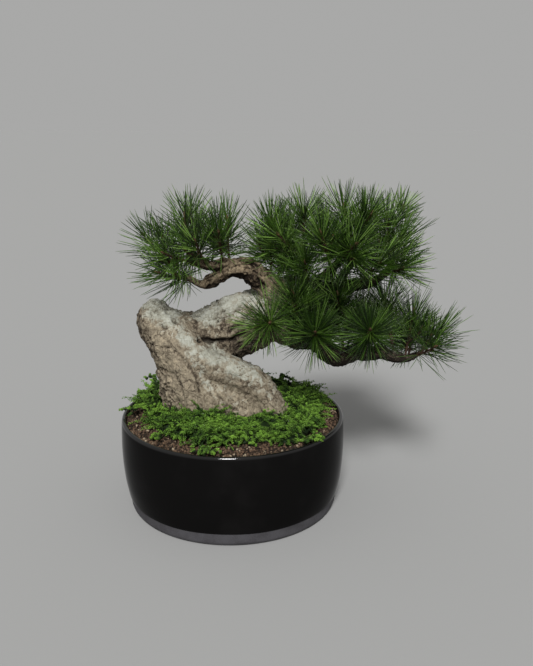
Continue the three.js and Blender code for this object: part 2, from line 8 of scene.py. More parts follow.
import logging
import math
from dataclasses import dataclass, field, replace
from enum import Enum, IntEnum
from typing import Dict, List, Optional, Sequence, Tuple, Union

import bpy
import numpy as np
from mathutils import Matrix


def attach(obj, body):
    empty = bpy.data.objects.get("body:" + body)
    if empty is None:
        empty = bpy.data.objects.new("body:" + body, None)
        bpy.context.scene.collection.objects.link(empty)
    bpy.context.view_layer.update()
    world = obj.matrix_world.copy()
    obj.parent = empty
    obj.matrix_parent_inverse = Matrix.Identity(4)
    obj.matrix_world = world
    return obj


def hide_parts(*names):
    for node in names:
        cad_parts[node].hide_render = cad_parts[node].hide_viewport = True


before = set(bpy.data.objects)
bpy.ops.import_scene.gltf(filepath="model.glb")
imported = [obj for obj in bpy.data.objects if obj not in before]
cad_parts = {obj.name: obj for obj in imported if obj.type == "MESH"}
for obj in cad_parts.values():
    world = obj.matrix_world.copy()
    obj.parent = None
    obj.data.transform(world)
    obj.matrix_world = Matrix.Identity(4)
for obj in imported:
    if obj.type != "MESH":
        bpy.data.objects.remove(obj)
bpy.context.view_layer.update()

MM = 0.001
GOLDEN_ANGLE = math.pi * (3 - math.sqrt(5))
UP = np.array([0.0, 0.0, 1.0])

log = logging.getLogger("bonsai")

Array = np.ndarray
Random = np.random.Generator
Material = bpy.types.Material
Piece = bpy.types.Object
Colour = Tuple[float, float, float]
Point = Tuple[float, float, float]
Span = Tuple[float, float]

# Where the camera stands. The marks on the bark are laid along its sight lines.
EYE: Point = (0.030281, -0.658585, 0.341758)



class Level(Enum):
    """The three tiers of needle shoots."""

    LEFT = "left"
    CROWN = "crown"
    LOW = "low"


# ------ the tree's shape, in millimetres

# Level sections of the leaning lower trunk: height, left, right, front and back.
LOWER_TRUNK = [
    (52, -44, 26, -16, 28), (70, -60, 42, -25, 37), (86, -65, 46, -30, 39), (97, -65, 42, -29, 37),
    (108, -66, 34, -27, 35), (120, -67, 20, -24, 33), (131, -70, 0, -22, 32), (142, -75, -22, -20, 31),
    (152, -80, -36, -18, 30), (162, -84, -46, -16, 29), (172, -83, -52, -13, 27), (179, -78, -56, -7, 22),
    (183, -73, -62, 2, 14),
]

# Limbs as stations of x, y, z and radius, from the thick end to the thin one.
LIMBS: Dict[str, List[Tuple[float, float, float, float]]] = {
    "rib_crest": [(-61, -3, 163, 12), (-51, -5, 155, 14), (-42, -8, 146.5, 15), (-24, -10, 131.5, 15.5),
        (-3, -11, 121.5, 15.5), (15, -11, 111.5, 15.5), (26, -10, 101, 15.5), (33.5, -9, 90, 15),
        (36, -8, 70, 15)],
    "rib_front": [(-50, -8, 148, 14), (-38, -12, 128, 15.5), (-32, -14, 106, 16.5), (-29, -16, 86, 17),
        (-28, -14, 70, 16)],
    "arm": [(-62, 6, 158, 20), (-45, 12, 149, 23), (-28, 18, 144.5, 25), (-10, 21, 148.5, 26.5),
        (6, 21, 156.5, 28), (22, 18, 162, 26), (36, 14, 166, 22), (46, 12, 163, 17)],
    "arm_knobs": [(-10, 16, 176, 5), (-3, 14, 181, 5.5), (8, 15, 182.5, 6)],
    "neck": [(30, 15, 165, 20), (36, 12, 180, 16), (37, 10, 192, 12.5), (34, 9, 200, 10)],
    "left_branch": [(37, 10, 190, 12), (27, 8, 202, 10.5), (13, 7, 211, 10.5), (2, 6, 210.5, 9),
        (-8, 6, 206, 6.8), (-17, 5, 201, 6), (-24, 5, 197.5, 4.2), (-32, 3, 200.5, 3),
        (-42, 0, 208, 2.2)],
    "left_side": [(4, 6, 214, 6), (-5, 3, 217, 5), (-16, 0, 215, 4), (-27, -3, 217, 3.2),
        (-38, -5, 221, 2.3)],
    "left_back": [(-6, 8, 207, 5), (-14, 16, 209, 3.8), (-24, 24, 214, 3), (-34, 30, 221, 2.3)],
    "crown_branch": [(35, 11, 190, 11.5), (48, 10, 195, 9), (64, 9, 194, 7.8), (82, 8, 192, 7),
        (100, 9, 195, 6), (116, 9, 197.5, 5), (128, 9, 202, 4), (137, 8, 208, 2.8)],
    "crown_left": [(56, 9, 196, 5), (58, 6, 208, 3.6), (61, 3, 222, 2.8), (61, 2, 236, 2.2)],
    "crown_middle": [(84, 8, 194, 5), (88, 6, 208, 3.8), (94, 3, 222, 3), (97, 2, 234, 2.2)],
    "crown_front": [(72, 8, 194, 4.5), (76, -2, 204, 3.4), (84, -10, 214, 2.8), (92, -14, 224, 2.2)],
    "crown_back": [(92, 9, 195, 5), (100, 18, 206, 3.8), (112, 26, 218, 3.2), (126, 29, 228, 2.7),
        (141, 28, 239, 2.2)],
    "low_branch": [(40, 13, 161, 18), (58, 7, 151, 14), (75, 2, 147, 10.5), (86, 0, 136.5, 9),
        (97, 0, 134, 8.5), (108, -1, 138, 7.2), (120, 0, 135.5, 7), (131, 0, 138, 5.8),
        (144, 0, 133.5, 5.2), (156, 0, 132, 3.6), (164, -1, 137, 2.4)],
    "low_left": [(50, 9, 154, 6), (56, -6, 152, 4.4), (64, -16, 153, 3.2), (71, -22, 156, 2.4)],
    "low_front": [(109, 0, 138, 4.6), (113, -9, 144, 3.2), (118, -20, 155, 2.4)],
    "low_back": [(64, 5, 150, 6), (76, 16, 150, 4.2), (92, 24, 150, 3.2), (108, 30, 152, 2.5)],
    "root_left": [(-40, 5, 74, 15), (-58, -2, 66, 9), (-72, -8, 58, 5), (-80, -14, 46, 3)],
    "root_front": [(-4, -14, 74, 14), (-8, -38, 65, 9), (-14, -58, 55, 5), (-16, -68, 42, 3)],
    "root_right": [(30, 0, 74, 14), (50, -10, 66, 9), (64, -24, 56, 5), (72, -34, 44, 3)],
    "root_back": [(-8, 22, 72, 14), (0, 44, 64, 9), (14, 60, 54, 5), (22, 68, 42, 3)],
}

# Needle shoots by tier: the limb, how far along it the shoot grows, and where its tip is.
SHOOTS: Dict[Level, List[Tuple[str, float, Point]]] = {
    Level.LEFT: [
        ("left_side", 0.97, (-38, -3, 257)), ("left_branch", 1, (-73, 0, 240)),
        ("left_branch", 0.9, (-59, -18, 212)), ("left_branch", 0.84, (-49, 15, 203)),
        ("left_side", 0.62, (-27, -30, 240)), ("left_side", 0.86, (-52, -32, 231)),
        ("left_branch", 0.42, (-3, 3, 253)), ("left_back", 1, (-37, 36, 254)),
        ("left_back", 0.8, (-64, 42, 234)), ("left_back", 0.5, (-12, 40, 244)),
        ("left_side", 0.3, (-9, -22, 246)),
    ],
    Level.CROWN: [
        ("neck", 0.98, (34, 0, 252)), ("crown_branch", 0.06, (42, 38, 234)),
        ("crown_left", 1, (62, -3, 260)), ("crown_left", 0.6, (41, -16, 243)),
        ("crown_front", 0.72, (74, -32, 247)), ("crown_middle", 1, (95, 2, 263)),
        ("crown_front", 1, (101, -43, 240)), ("crown_branch", 1, (132, 1, 255)),
        ("crown_back", 1, (149, 28, 260)), ("crown_branch", 0.97, (144, -8, 214)),
        ("crown_branch", 0.9, (148, 18, 238)), ("crown_branch", 0.3, (62, -26, 222)),
        ("crown_back", 0.35, (78, 44, 246)), ("crown_back", 0.72, (118, 48, 252)),
        ("crown_middle", 0.6, (116, -10, 259)), ("crown_left", 0.3, (50, 34, 246)),
        ("crown_branch", 0.64, (122, -30, 222)), ("crown_back", 0.5, (104, 52, 224)),
    ],
    Level.LOW: [
        ("low_branch", 1, (182, -5, 157)), ("low_branch", 0.94, (172, -27, 150)),
        ("low_front", 1, (115, -45, 170)), ("low_left", 1, (70, -45, 168)),
        ("arm", 0.84, (33, -44, 176)), ("low_branch", 0.5, (107, -12, 166)),
        ("low_branch", 0.42, (90, -20, 193)), ("low_branch", 0.8, (135, 16, 180)),
        ("low_back", 1, (122, 50, 164)), ("low_back", 0.6, (88, 52, 174)),
        ("low_branch", 0.9, (164, 32, 154)), ("low_branch", 0.87, (159, 3, 173)),
        ("low_left", 0.5, (52, -28, 196)), ("low_back", 0.25, (60, 46, 176)),
    ],
}

# Loose tufts of moss past the carpet's edge or above it: x, y, z and how far they spread.
MOSS_TUFTS = [(-91, -8, 86, 6), (-84, 22, 90, 7), (-14, -91, 82, 6), (-24, -88, 82, 5), (76, -64, 82, 7),
              (68, -70, 82, 5), (46, 60, 92, 5), (-76, 44, 96, 6), (70, 20, 88, 6), (-60, -62, 82, 5)]

# How far the moss reaches from the centre, by angle in degrees.
MOSS_REACH = [(0, 78), (10, 83), (22, 91), (90, 92), (150, 92), (172, 89), (187, 83), (199, 81), (213, 84),
              (232, 84), (238, 77), (251, 83), (264, 75), (276, 81), (289, 77), (296, 83), (306, 90),
              (318, 91), (330, 88), (342, 81), (352, 77), (360, 78)]

# The tie wire's route, from its end over the left root, out under the pot and back.
TIE_WIRE = [(-60, 24, 60), (-62, 28, 48), (-50, 25, 28), (-43, 24.4, 14), (-41.8, 24.2, 7),
            (-40.4, 24.2, 3.4), (-36, 25, 1.2), (-20, 29, 1.2), (0, 31.5, 1.2), (20, 29, 1.2),
            (36, 25, 1.2), (40.4, 24.2, 3.4), (41.8, 24.2, 7), (43, 24.4, 14), (50, 27, 28),
            (60, 30, 48), (56, 24, 60)]


# ------ numbers over space


class Seed(IntEnum):
    """Which field of noise each feature takes, so that no two features line up."""

    WIDE_LUMPS = 3
    SOIL_CRUST = 5
    MOSS_BED = 7
    SWELLS = 11
    MOSS_FRAY = 13
    KNOBS = 17
    MOSS_CLUMPS = 19
    FISSURES = 23
    PLATES = 31
    BROKEN_BARK = 37
    GRIT = 47
    FINE_GRIT = 53
    FISSURE_DEPTH = 61
    MARK_EDGES = 71
    LICHEN = 83
    SWAY = 91


def ease(low: float, high: float, value: Array) -> Array:
    """0 below low, 1 above high, and the cubic 3t² - 2t³ between them."""
    part = np.clip((value - low) / (high - low), 0, 1)
    return part * part * (3 - 2 * part)


def hashed(cells: Array, seed: int) -> Array:
    """A repeatable number from 0 to 1 for each whole-number cell.

    The cell's three coordinates and the seed are multiplied by large odd numbers and added, and the
    sum's bits are folded onto themselves twice.

    Args:
        cells: Whole numbers, with the three coordinates on the last axis.
        seed: Which of the endless fields of numbers to take.

    Returns:
        The numbers, one for each cell.
    """
    whole = cells.astype(np.int64)
    mixed = (whole[..., 0] * 374761393 + whole[..., 1] * 668265263 + whole[..., 2] * 1103515245
             + seed * 1274126177) & 0xFFFFFFFF
    mixed = ((mixed ^ (mixed >> 13)) * 1274126177) & 0xFFFFFFFF
    return (mixed ^ (mixed >> 16)) / 0xFFFFFFFF


def lumps(points: Array, seed: int) -> Array:
    """Smooth noise from -1 to 1 with lumps about one unit wide.

    Each point takes the eight corner values of its unit cell, weighed by the smoothed distance to
    each corner.

    Args:
        points: Places in units of the lumps' width, as n rows of three.
        seed: Which field of noise to take.

    Returns:
        The noise at each point.
    """
    cell = np.floor(points)
    part = points - cell
    weight = part * part * (3 - 2 * part)
    total = np.zeros(len(points))
    for corner in np.ndindex(2, 2, 2):
        share = np.prod(np.where(np.array(corner) == 1, weight, 1 - weight), axis=1)
        total += share * hashed(cell + np.array(corner), seed)
    return 2 * total - 1


def layered(points: Array, seed: int, layers: int = 3) -> Array:
    """Sums layers of lumps, each half as wide and half as high as the last."""
    return sum(lumps(points * 2**layer, seed + layer) / 2**layer for layer in range(layers))


def crumbs(points: Array, seed: int) -> Tuple[Array, Array]:
    """Distances from each point to the nearest and the next of the seeds scattered one to a cell.

    Args:
        points: Places in units of the crumbs' width, as n rows of three.
        seed: Which scatter to take.

    Returns:
        The two distances, in the same units.
    """
    cell = np.floor(points)
    first = np.full(len(points), 9.0)
    second = np.full(len(points), 9.0)
    for step in np.ndindex(3, 3, 3):
        near = cell + (np.array(step) - 1)
        place = near + np.stack([hashed(near, seed + axis) for axis in range(3)], axis=1)
        gap = np.linalg.norm(points - place, axis=1)
        second = np.minimum(second, np.maximum(first, gap))
        first = np.minimum(first, gap)
    return first, second


def length_run(path: Array) -> Array:
    """How much of a path lies behind each of its points."""
    return np.concatenate([[0], np.cumsum(np.linalg.norm(np.diff(path, axis=0), axis=1))])


def unit(vectors: Array) -> Array:
    """The vectors at length one."""
    return vectors / np.maximum(np.linalg.norm(vectors, axis=-1, keepdims=True), 1e-12)


def across(directions: Array) -> Tuple[Array, Array]:
    """Two directions square to each given one and to each other."""
    guide = np.where(np.abs(directions[..., 2:3]) > 0.9, np.array([0.0, 1.0, 0.0]), UP)
    side = unit(np.cross(guide, directions))
    return side, np.cross(directions, side)


class Line:
    """A smooth line through points, the centripetal Catmull-Rom curve."""

    def __init__(self, points: Sequence[Sequence[float]]) -> None:
        """Takes the points, in the order that the line runs."""
        self.points = np.array(points, float)[:, :3]

    def at(self, part: Union[float, Array]) -> Array:
        """The line's points at parts from 0 to 1.

        Between two points the line is the cubic whose slopes there are worked out from the square
        roots of the distances to the neighbours. Past the ends the last stretch is mirrored.

        Args:
            part: How far along, with the same share for each stretch between two points.

        Returns:
            One row of three for each part.
        """
        p = self.points
        ends = np.vstack([2 * p[0] - p[1], p, 2 * p[-1] - p[-2]])
        place = np.atleast_1d(part) * (len(p) - 1)
        index = np.minimum(place.astype(int), len(p) - 2)
        t = (place - index)[:, None]
        a, b, c, d = (ends[index + step] for step in range(4))
        ab, bc, cd = (np.sqrt(np.linalg.norm(v - u, axis=1))[:, None] for u, v in ((a, b), (b, c), (c, d)))
        leave = ((b - a) / ab - (c - a) / (ab + bc) + (c - b) / bc) * bc
        arrive = ((c - b) / bc - (d - b) / (bc + cd) + (d - c) / cd) * bc
        return (b + leave * t + (3 * (c - b) - 2 * leave - arrive) * t**2
                + (2 * (b - c) + leave + arrive) * t**3)

    def evenly(self, step: float) -> Tuple[Array, Array]:
        """Points about one step apart, and the part of the line that each is at."""
        fine = np.linspace(0, 1, 40 * len(self.points))
        run = length_run(self.at(fine))
        count = max(3, int(round(run[-1] / step)) + 1)
        parts = np.interp(np.linspace(0, run[-1], count), run, fine)
        return self.at(parts), parts


# ------ meshes


class Skin:
    """The vertices, faces and point values of one piece, gathered part by part."""

    def __init__(self) -> None:
        """Starts with nothing."""
        self.points: List[Array] = []
        self.faces: List[Tuple[Array, int]] = []
        self.values: Dict[str, List[Array]] = {}
        self.count = 0

    def add(self, points: Array, faces: Sequence[Array], finish: int = 0,
            **values: Union[float, Array]) -> None:
        """Adds a part.

        Args:
            points: Its vertices, as n rows of three.
            faces: Arrays of triangles or quads that count from this part's first vertex.
            finish: Which of the piece's finishes the faces take.
            **values: A number for each vertex, or one for all of them, by the attribute's name.
        """
        self.points.append(points)
        self.faces += [(array + self.count, finish) for array in faces]
        for name in {**self.values, **values}:
            given = np.broadcast_to(np.asarray(values.get(name, 0.0), float), len(points))
            kept = self.values.setdefault(name, [np.zeros(self.count)] if self.count else [])
            kept.append(given)
        self.count += len(points)

    def grid(self, rows: Array, finish: int = 0, **values: Union[float, Array]) -> None:
        """Adds a grid of points as a closed skin of quads.

        Point (i, j) joins its neighbours (i + 1, j) and (i, j + 1). Each row is a closed ring, and
        fans to their middles close the first and the last.

        Args:
            rows: Vertices as an array of rows by columns by three.
            finish: Which of the piece's finishes the faces take.
            **values: As in add, for the grid's own points in order.
        """
        height, width = rows.shape[:2]
        corner = np.arange(height * width).reshape(height, width)
        right = np.roll(corner, -1, axis=1)
        quads = np.stack([corner[:-1], right[:-1], right[1:], corner[1:]], axis=-1).reshape(-1, 4)
        low = np.full(width, corner.size)
        fans = [np.stack([low, right[0], corner[0]], axis=-1),
                np.stack([low + 1, corner[-1], right[-1]], axis=-1)]
        points = np.vstack([rows.reshape(-1, 3), rows[0].mean(axis=0), rows[-1].mean(axis=0)])
        values = {name: self._with_caps(value, corner.size) for name, value in values.items()}
        self.add(points, [quads, *fans], finish, **values)

    @staticmethod
    def _with_caps(value: Union[float, Array], count: int) -> Array:
        """A grid's values, with its first and last repeated for the two middles."""
        full = np.broadcast_to(np.asarray(value, float), count)
        return np.concatenate([full, full[:1], full[-1:]])

    def object(self, name: str, materials: Sequence[Material], smooth: bool = True) -> Piece:
        """Makes the gathered parts one mesh object at the origin.

        Args:
            name: The object's name.
            materials: The finishes, in the order that the parts number them.
            smooth: Whether the faces shade smoothly.

        Returns:
            The new object, linked to the scene.
        """
        mesh = bpy.data.meshes.new(name)
        points = np.vstack(self.points).astype(np.float32)
        corners = np.concatenate([array.ravel() for array, _ in self.faces]).astype(np.int32)
        sizes = np.concatenate([np.full(len(array), array.shape[1]) for array, _ in self.faces])
        finishes = np.concatenate([np.full(len(array), finish) for array, finish in self.faces])
        mesh.vertices.add(len(points))
        mesh.vertices.foreach_set("co", points.ravel())
        mesh.loops.add(len(corners))
        mesh.loops.foreach_set("vertex_index", corners)
        mesh.polygons.add(len(sizes))
        mesh.polygons.foreach_set("loop_start", (np.cumsum(sizes) - sizes).astype(np.int32))
        mesh.polygons.foreach_set("material_index", finishes.astype(np.int32))
        mesh.polygons.foreach_set("use_smooth", np.full(len(sizes), smooth))
        mesh.update(calc_edges=True)
        mesh.validate()
        for title, parts in self.values.items():
            attribute = mesh.attributes.new(title, "FLOAT", "POINT")
            attribute.data.foreach_set("value", np.concatenate(parts).astype(np.float32))
        for material in materials:
            mesh.materials.append(material)
        return in_scene(name, mesh)


def in_scene(name: str, data: bpy.types.ID) -> Piece:
    """A new object at the origin that holds the data, linked to the scene."""
    made = bpy.data.objects.new(name, data)
    bpy.context.scene.collection.objects.link(made)
    return made


def arc(start: Array, control: Array, end: Array, count: int) -> Array:
    """Points on the parabola (1 - t)² · start + 2t(1 - t) · control + t² · end, evenly spread in t."""
    t = np.linspace(0, 1, count)[:, None]
    return (1 - t)**2 * start + 2 * t * (1 - t) * control + t**2 * end


def circle(count: int) -> Array:
    """Angles evenly spread over a full turn."""
    return np.linspace(0, 2 * np.pi, count, endpoint=False)


def turned(radii: Array, heights: Array, count: int) -> Array:
    """A section turned round Z: rings of count points at (radius · cosine, radius · sine, height)."""
    angle = circle(count)
    return np.stack([radii[:, None] * np.cos(angle), radii[:, None] * np.sin(angle),
                     np.repeat(heights[:, None], count, axis=1)], axis=-1)


def around(side: Array, second: Array, angle: Array) -> Array:
    """Directions at angles in the planes of pairs of directions: cosine · side + sine · second."""
    return side * np.cos(angle)[..., None] + second * np.sin(angle)[..., None]


def tube(path: Array, radius: Array, sides: int) -> Array:
    """Rings of points round a path.

    The ring at a path point is its centre plus radius times cosine and sine of the angle along two
    directions square to the path. Those are carried from ring to ring with the least turn.

    Args:
        path: The centre line, as n rows of three.
        radius: The radius at each of its points.
        sides: How many points a ring has.

    Returns:
        An array of n rings by sides by three.
    """
    tangent = unit(np.gradient(path, axis=0))
    side = across(tangent[0])[0]
    sideways = []
    for direction in tangent:
        side = unit(side - direction * (side @ direction))
        sideways.append(side)
    first = np.array(sideways)
    second = np.cross(tangent, first)
    angle = circle(sides)
    spread = around(first[:, None], second[:, None], angle)
    return path[:, None] + spread * np.asarray(radius)[:, None, None]


def read_points(mesh: bpy.types.Mesh, what: str) -> Array:
    """The mesh's vertex places or normals, as n rows of three."""
    flat = np.zeros(3 * len(mesh.vertices), np.float32)
    mesh.vertices.foreach_get(what, flat)
    return flat.reshape(-1, 3).astype(float)


def finished_mesh(piece: Piece) -> bpy.types.Mesh:
    """The piece's mesh with all its modifiers applied."""
    graph = bpy.context.evaluated_depsgraph_get()
    return bpy.data.meshes.new_from_object(piece.evaluated_get(graph))


def discard(piece: Piece) -> None:
    """Removes an object that only helped to make another."""
    mesh = piece.data
    bpy.data.objects.remove(piece)
    bpy.data.meshes.remove(mesh)


# ------ shader maths

Term = Union["Value", float]


class Scatter(Enum):
    """What a scatter of grains gives: how far the nearest one or the edge between two is, or a colour
    for each grain. It holds the texture's feature and its output."""

    NEAREST = ("F1", "Distance")
    EDGE = ("DISTANCE_TO_EDGE", "Distance")
    COLOUR = ("F1", "Color")


class Value:
    """A socket in a material's nodes, on which Python's operators add Math nodes."""

    def __init__(self, paint: "Paint", socket: bpy.types.NodeSocket) -> None:
        """Wraps a node's output."""
        self.paint = paint
        self.socket = socket

    def _with(self, operation: str, first: Term, second: Term) -> "Value":
        """A Math node on two terms."""
        terms = {"Value": first, "Value_001": second}
        return self.paint.node("Math", {"operation": operation}, terms)

    def __add__(self, other: Term) -> "Value":
        """Sum."""
        return self._with("ADD", self, other)

    __radd__ = __add__

    def __sub__(self, other: Term) -> "Value":
        """Difference."""
        return self._with("SUBTRACT", self, other)

    def __rsub__(self, other: Term) -> "Value":
        """Difference, from a number."""
        return self._with("SUBTRACT", other, self)

    def __mul__(self, other: Term) -> "Value":
        """Product."""
        return self._with("MULTIPLY", self, other)

    __rmul__ = __mul__

    def between(self, low: float, high: float, smooth: bool = True) -> "Value":
        """0 where the value is below low, 1 above high, and smooth or straight in between."""
        kind = "SMOOTHSTEP" if smooth else "LINEAR"
        return self.paint.node("MapRange", {"interpolation_type": kind},
                               {"Value": self, "From Min": low, "From Max": high})


class Paint:
    """The node tree of one material, around one Principled shader."""

    def __init__(self, name: str) -> None:
        """Starts a material with nothing but its shader."""
        self.material = bpy.data.materials.new(name)
        self.material.use_nodes = True
        self.tree = self.material.node_tree
        self.shader = next(n for n in self.tree.nodes if n.type == "BSDF_PRINCIPLED")

    def node(self, kind: str, settings: Dict[str, object], inputs: Dict[str, object],
             output: Union[int, str] = 0) -> Value:
        """Adds any node.

        Args:
            kind: The node's type, without ShaderNode before it.
            settings: Its own settings, such as a Math node's operation, which are set first.
            inputs: Numbers, colours or values for its sockets, by name or identifier.
            output: Which of its outputs to hand back.

        Returns:
            That output.
        """
        made = self.tree.nodes.new("ShaderNode" + kind)
        for name, setting in settings.items():
            setattr(made, name, setting)
        for name, given in inputs.items():
            self.feed(next(s for s in made.inputs if name in (s.identifier, s.name)), given)
        if isinstance(output, str):
            return Value(self, next(s for s in made.outputs if output in (s.identifier, s.name)))
        return Value(self, made.outputs[output])

    def feed(self, socket: bpy.types.NodeSocket, given: object) -> None:
        """Links a value to a socket, or sets the socket to a number or a colour."""
        if isinstance(given, Value):
            self.tree.links.new(given.socket, socket)
        elif socket.type == "RGBA":
            socket.default_value = (*given, 1.0)
        else:
            socket.default_value = given

    def finished(self, **inputs: object) -> Material:
        """Feeds the shader's sockets, named with underscores for spaces, and gives the material."""
        for name, given in inputs.items():
            self.feed(self.shader.inputs[name.replace("_", " ")], given)
        return self.material

    def place(self) -> Value:
        """Where a point is, in metres."""
        return self.node("TexCoord", {}, {}, "Object")

    def height(self) -> Value:
        """A point's height above the ground."""
        return self.node("SeparateXYZ", {}, {"Vector": self.place()}, "Z")

    def point_value(self, name: str) -> Value:
        """The piece's own value of that name."""
        return self.node("Attribute", {"attribute_name": name}, {}, "Fac")

    def noise(self, width: float, detail: float = 2.0, roughness: float = 0.5) -> Value:
        """Noise from 0 to 1 whose lumps are about that wide."""
        return self.node("TexNoise", {}, {
            "Vector": self.place(), "Scale": 1 / width, "Detail": detail, "Roughness": roughness})

    def shaken(self, width: float, reach: float) -> Value:
        """Where a point is, moved by up to half that reach by noise that wide."""
        place = self.place()
        shake = self.node("TexNoise", {}, {"Vector": place, "Scale": 1 / width}, "Color")
        return self.node("VectorMath", {"operation": "MULTIPLY_ADD"},
                         {"Vector": shake, "Vector_001": (reach, reach, reach), "Vector_002": place})

    def grains(self, width: float, what: Scatter = Scatter.NEAREST, where: Optional[Value] = None) -> Value:
        """A scatter of grains about that wide, at each point or where given."""
        feature, output = what.value
        return self.node("TexVoronoi", {"feature": feature},
                         {"Vector": where or self.place(), "Scale": 1 / width}, output)

    def grain_tone(self, width: float, where: Optional[Value] = None) -> Value:
        """A number from 0 to 1 for each grain of a scatter."""
        colour = self.grains(width, Scatter.COLOUR, where)
        return self.node("SeparateColor", {}, {"Color": colour}, "Red")

    def mix(self, share: Term, first: Union[Value, Colour], second: Union[Value, Colour]) -> Value:
        """A colour between two others."""
        return self.node("Mix", {"data_type": "RGBA"}, {
            "Factor_Float": share, "A_Color": first, "B_Color": second}, "Result_Color")

    def tinted(self, colour: Value, tint: Colour) -> Value:
        """A colour times another, channel by channel."""
        return self.node("VectorMath", {"operation": "MULTIPLY"},
                         {"Vector": colour, "Vector_001": tint})

    def ramp(self, shade: Value, *colours: Colour) -> Value:
        """The colours in a row, evenly spread over shades from 0 to 1 and blended in between."""
        steps = len(colours) - 1
        blend: Union[Value, Colour] = colours[0]
        for number, colour in enumerate(colours[1:]):
            blend = self.mix(shade.between(number / steps, (number + 1) / steps, False), blend, colour)
        return blend

    def bump(self, height: Value, depth: float, strength: float = 1.0) -> Value:
        """A normal tilted by a height field from 0 to 1 that is that deep."""
        return self.node("Bump", {}, {"Strength": strength, "Distance": depth, "Height": height})


# ------ finishes


@dataclass(frozen=True)
class Glaze:
    """The near-black glaze: soft gloss, faint unevenness and a few dull specks, glassier at the rim."""

    colour: Colour = (0.0046, 0.0044, 0.0043)
    dusty: Colour = (0.0070, 0.0066, 0.0065)
    roughness: float = 0.09
    specular: float = 0.02
    cloud_width: float = 30 * MM
    clouded: Span = (0.45, 0.8)
    cloud_dulls: float = 0.06
    speck_width: float = 9 * MM
    speck_edge: Span = (0.03, 0.08)
    speck_dulls: float = 0.1
    ripple_width: float = 5 * MM
    ripple_depth: float = 0.05 * MM
    glassy_heights: Span = (78.6 * MM, 80.4 * MM)

    def material(self) -> Material:
        """Makes the material."""
        paint = Paint("black_glaze")
        cloud = paint.noise(self.cloud_width, 3)
        speck = 1 - paint.grains(self.speck_width).between(*self.speck_edge)
        return paint.finished(
            Base_Color=paint.mix(cloud.between(*self.clouded), self.colour, self.dusty),
            Roughness=cloud * self.cloud_dulls + speck * self.speck_dulls + self.roughness,
            Normal=paint.bump(paint.noise(self.ripple_width, 2), self.ripple_depth, 0.6),
            Specular_IOR_Level=self.specular,
            Coat_Weight=paint.height().between(*self.glassy_heights),
            Coat_Roughness=0.08)


@dataclass(frozen=True)
class BareClay:
    """The unglazed body: mid grey, matt, with a fine grit."""

    colour: Colour = (0.064, 0.062, 0.068)
    dark: Colour = (0.036, 0.034, 0.037)
    roughness: float = 0.86
    grit_width: float = 0.8 * MM
    grit_depth: float = 0.14 * MM
    cloud_width: float = 14 * MM
    mottled: Span = (0.35, 0.62)

    def material(self) -> Material:
        """Makes the material."""
        paint = Paint("bare_clay")
        grit = paint.noise(self.grit_width, 3, 0.7)
        cloud = paint.noise(self.cloud_width, 3)
        mottle = (grit * 0.5 + cloud * 0.5).between(*self.mottled)
        return paint.finished(
            Base_Color=paint.mix(mottle, self.dark, self.colour),
            Roughness=self.roughness - grit * 0.12,
            Normal=paint.bump(grit, self.grit_depth, 0.7),
            Specular_IOR_Level=0.3)


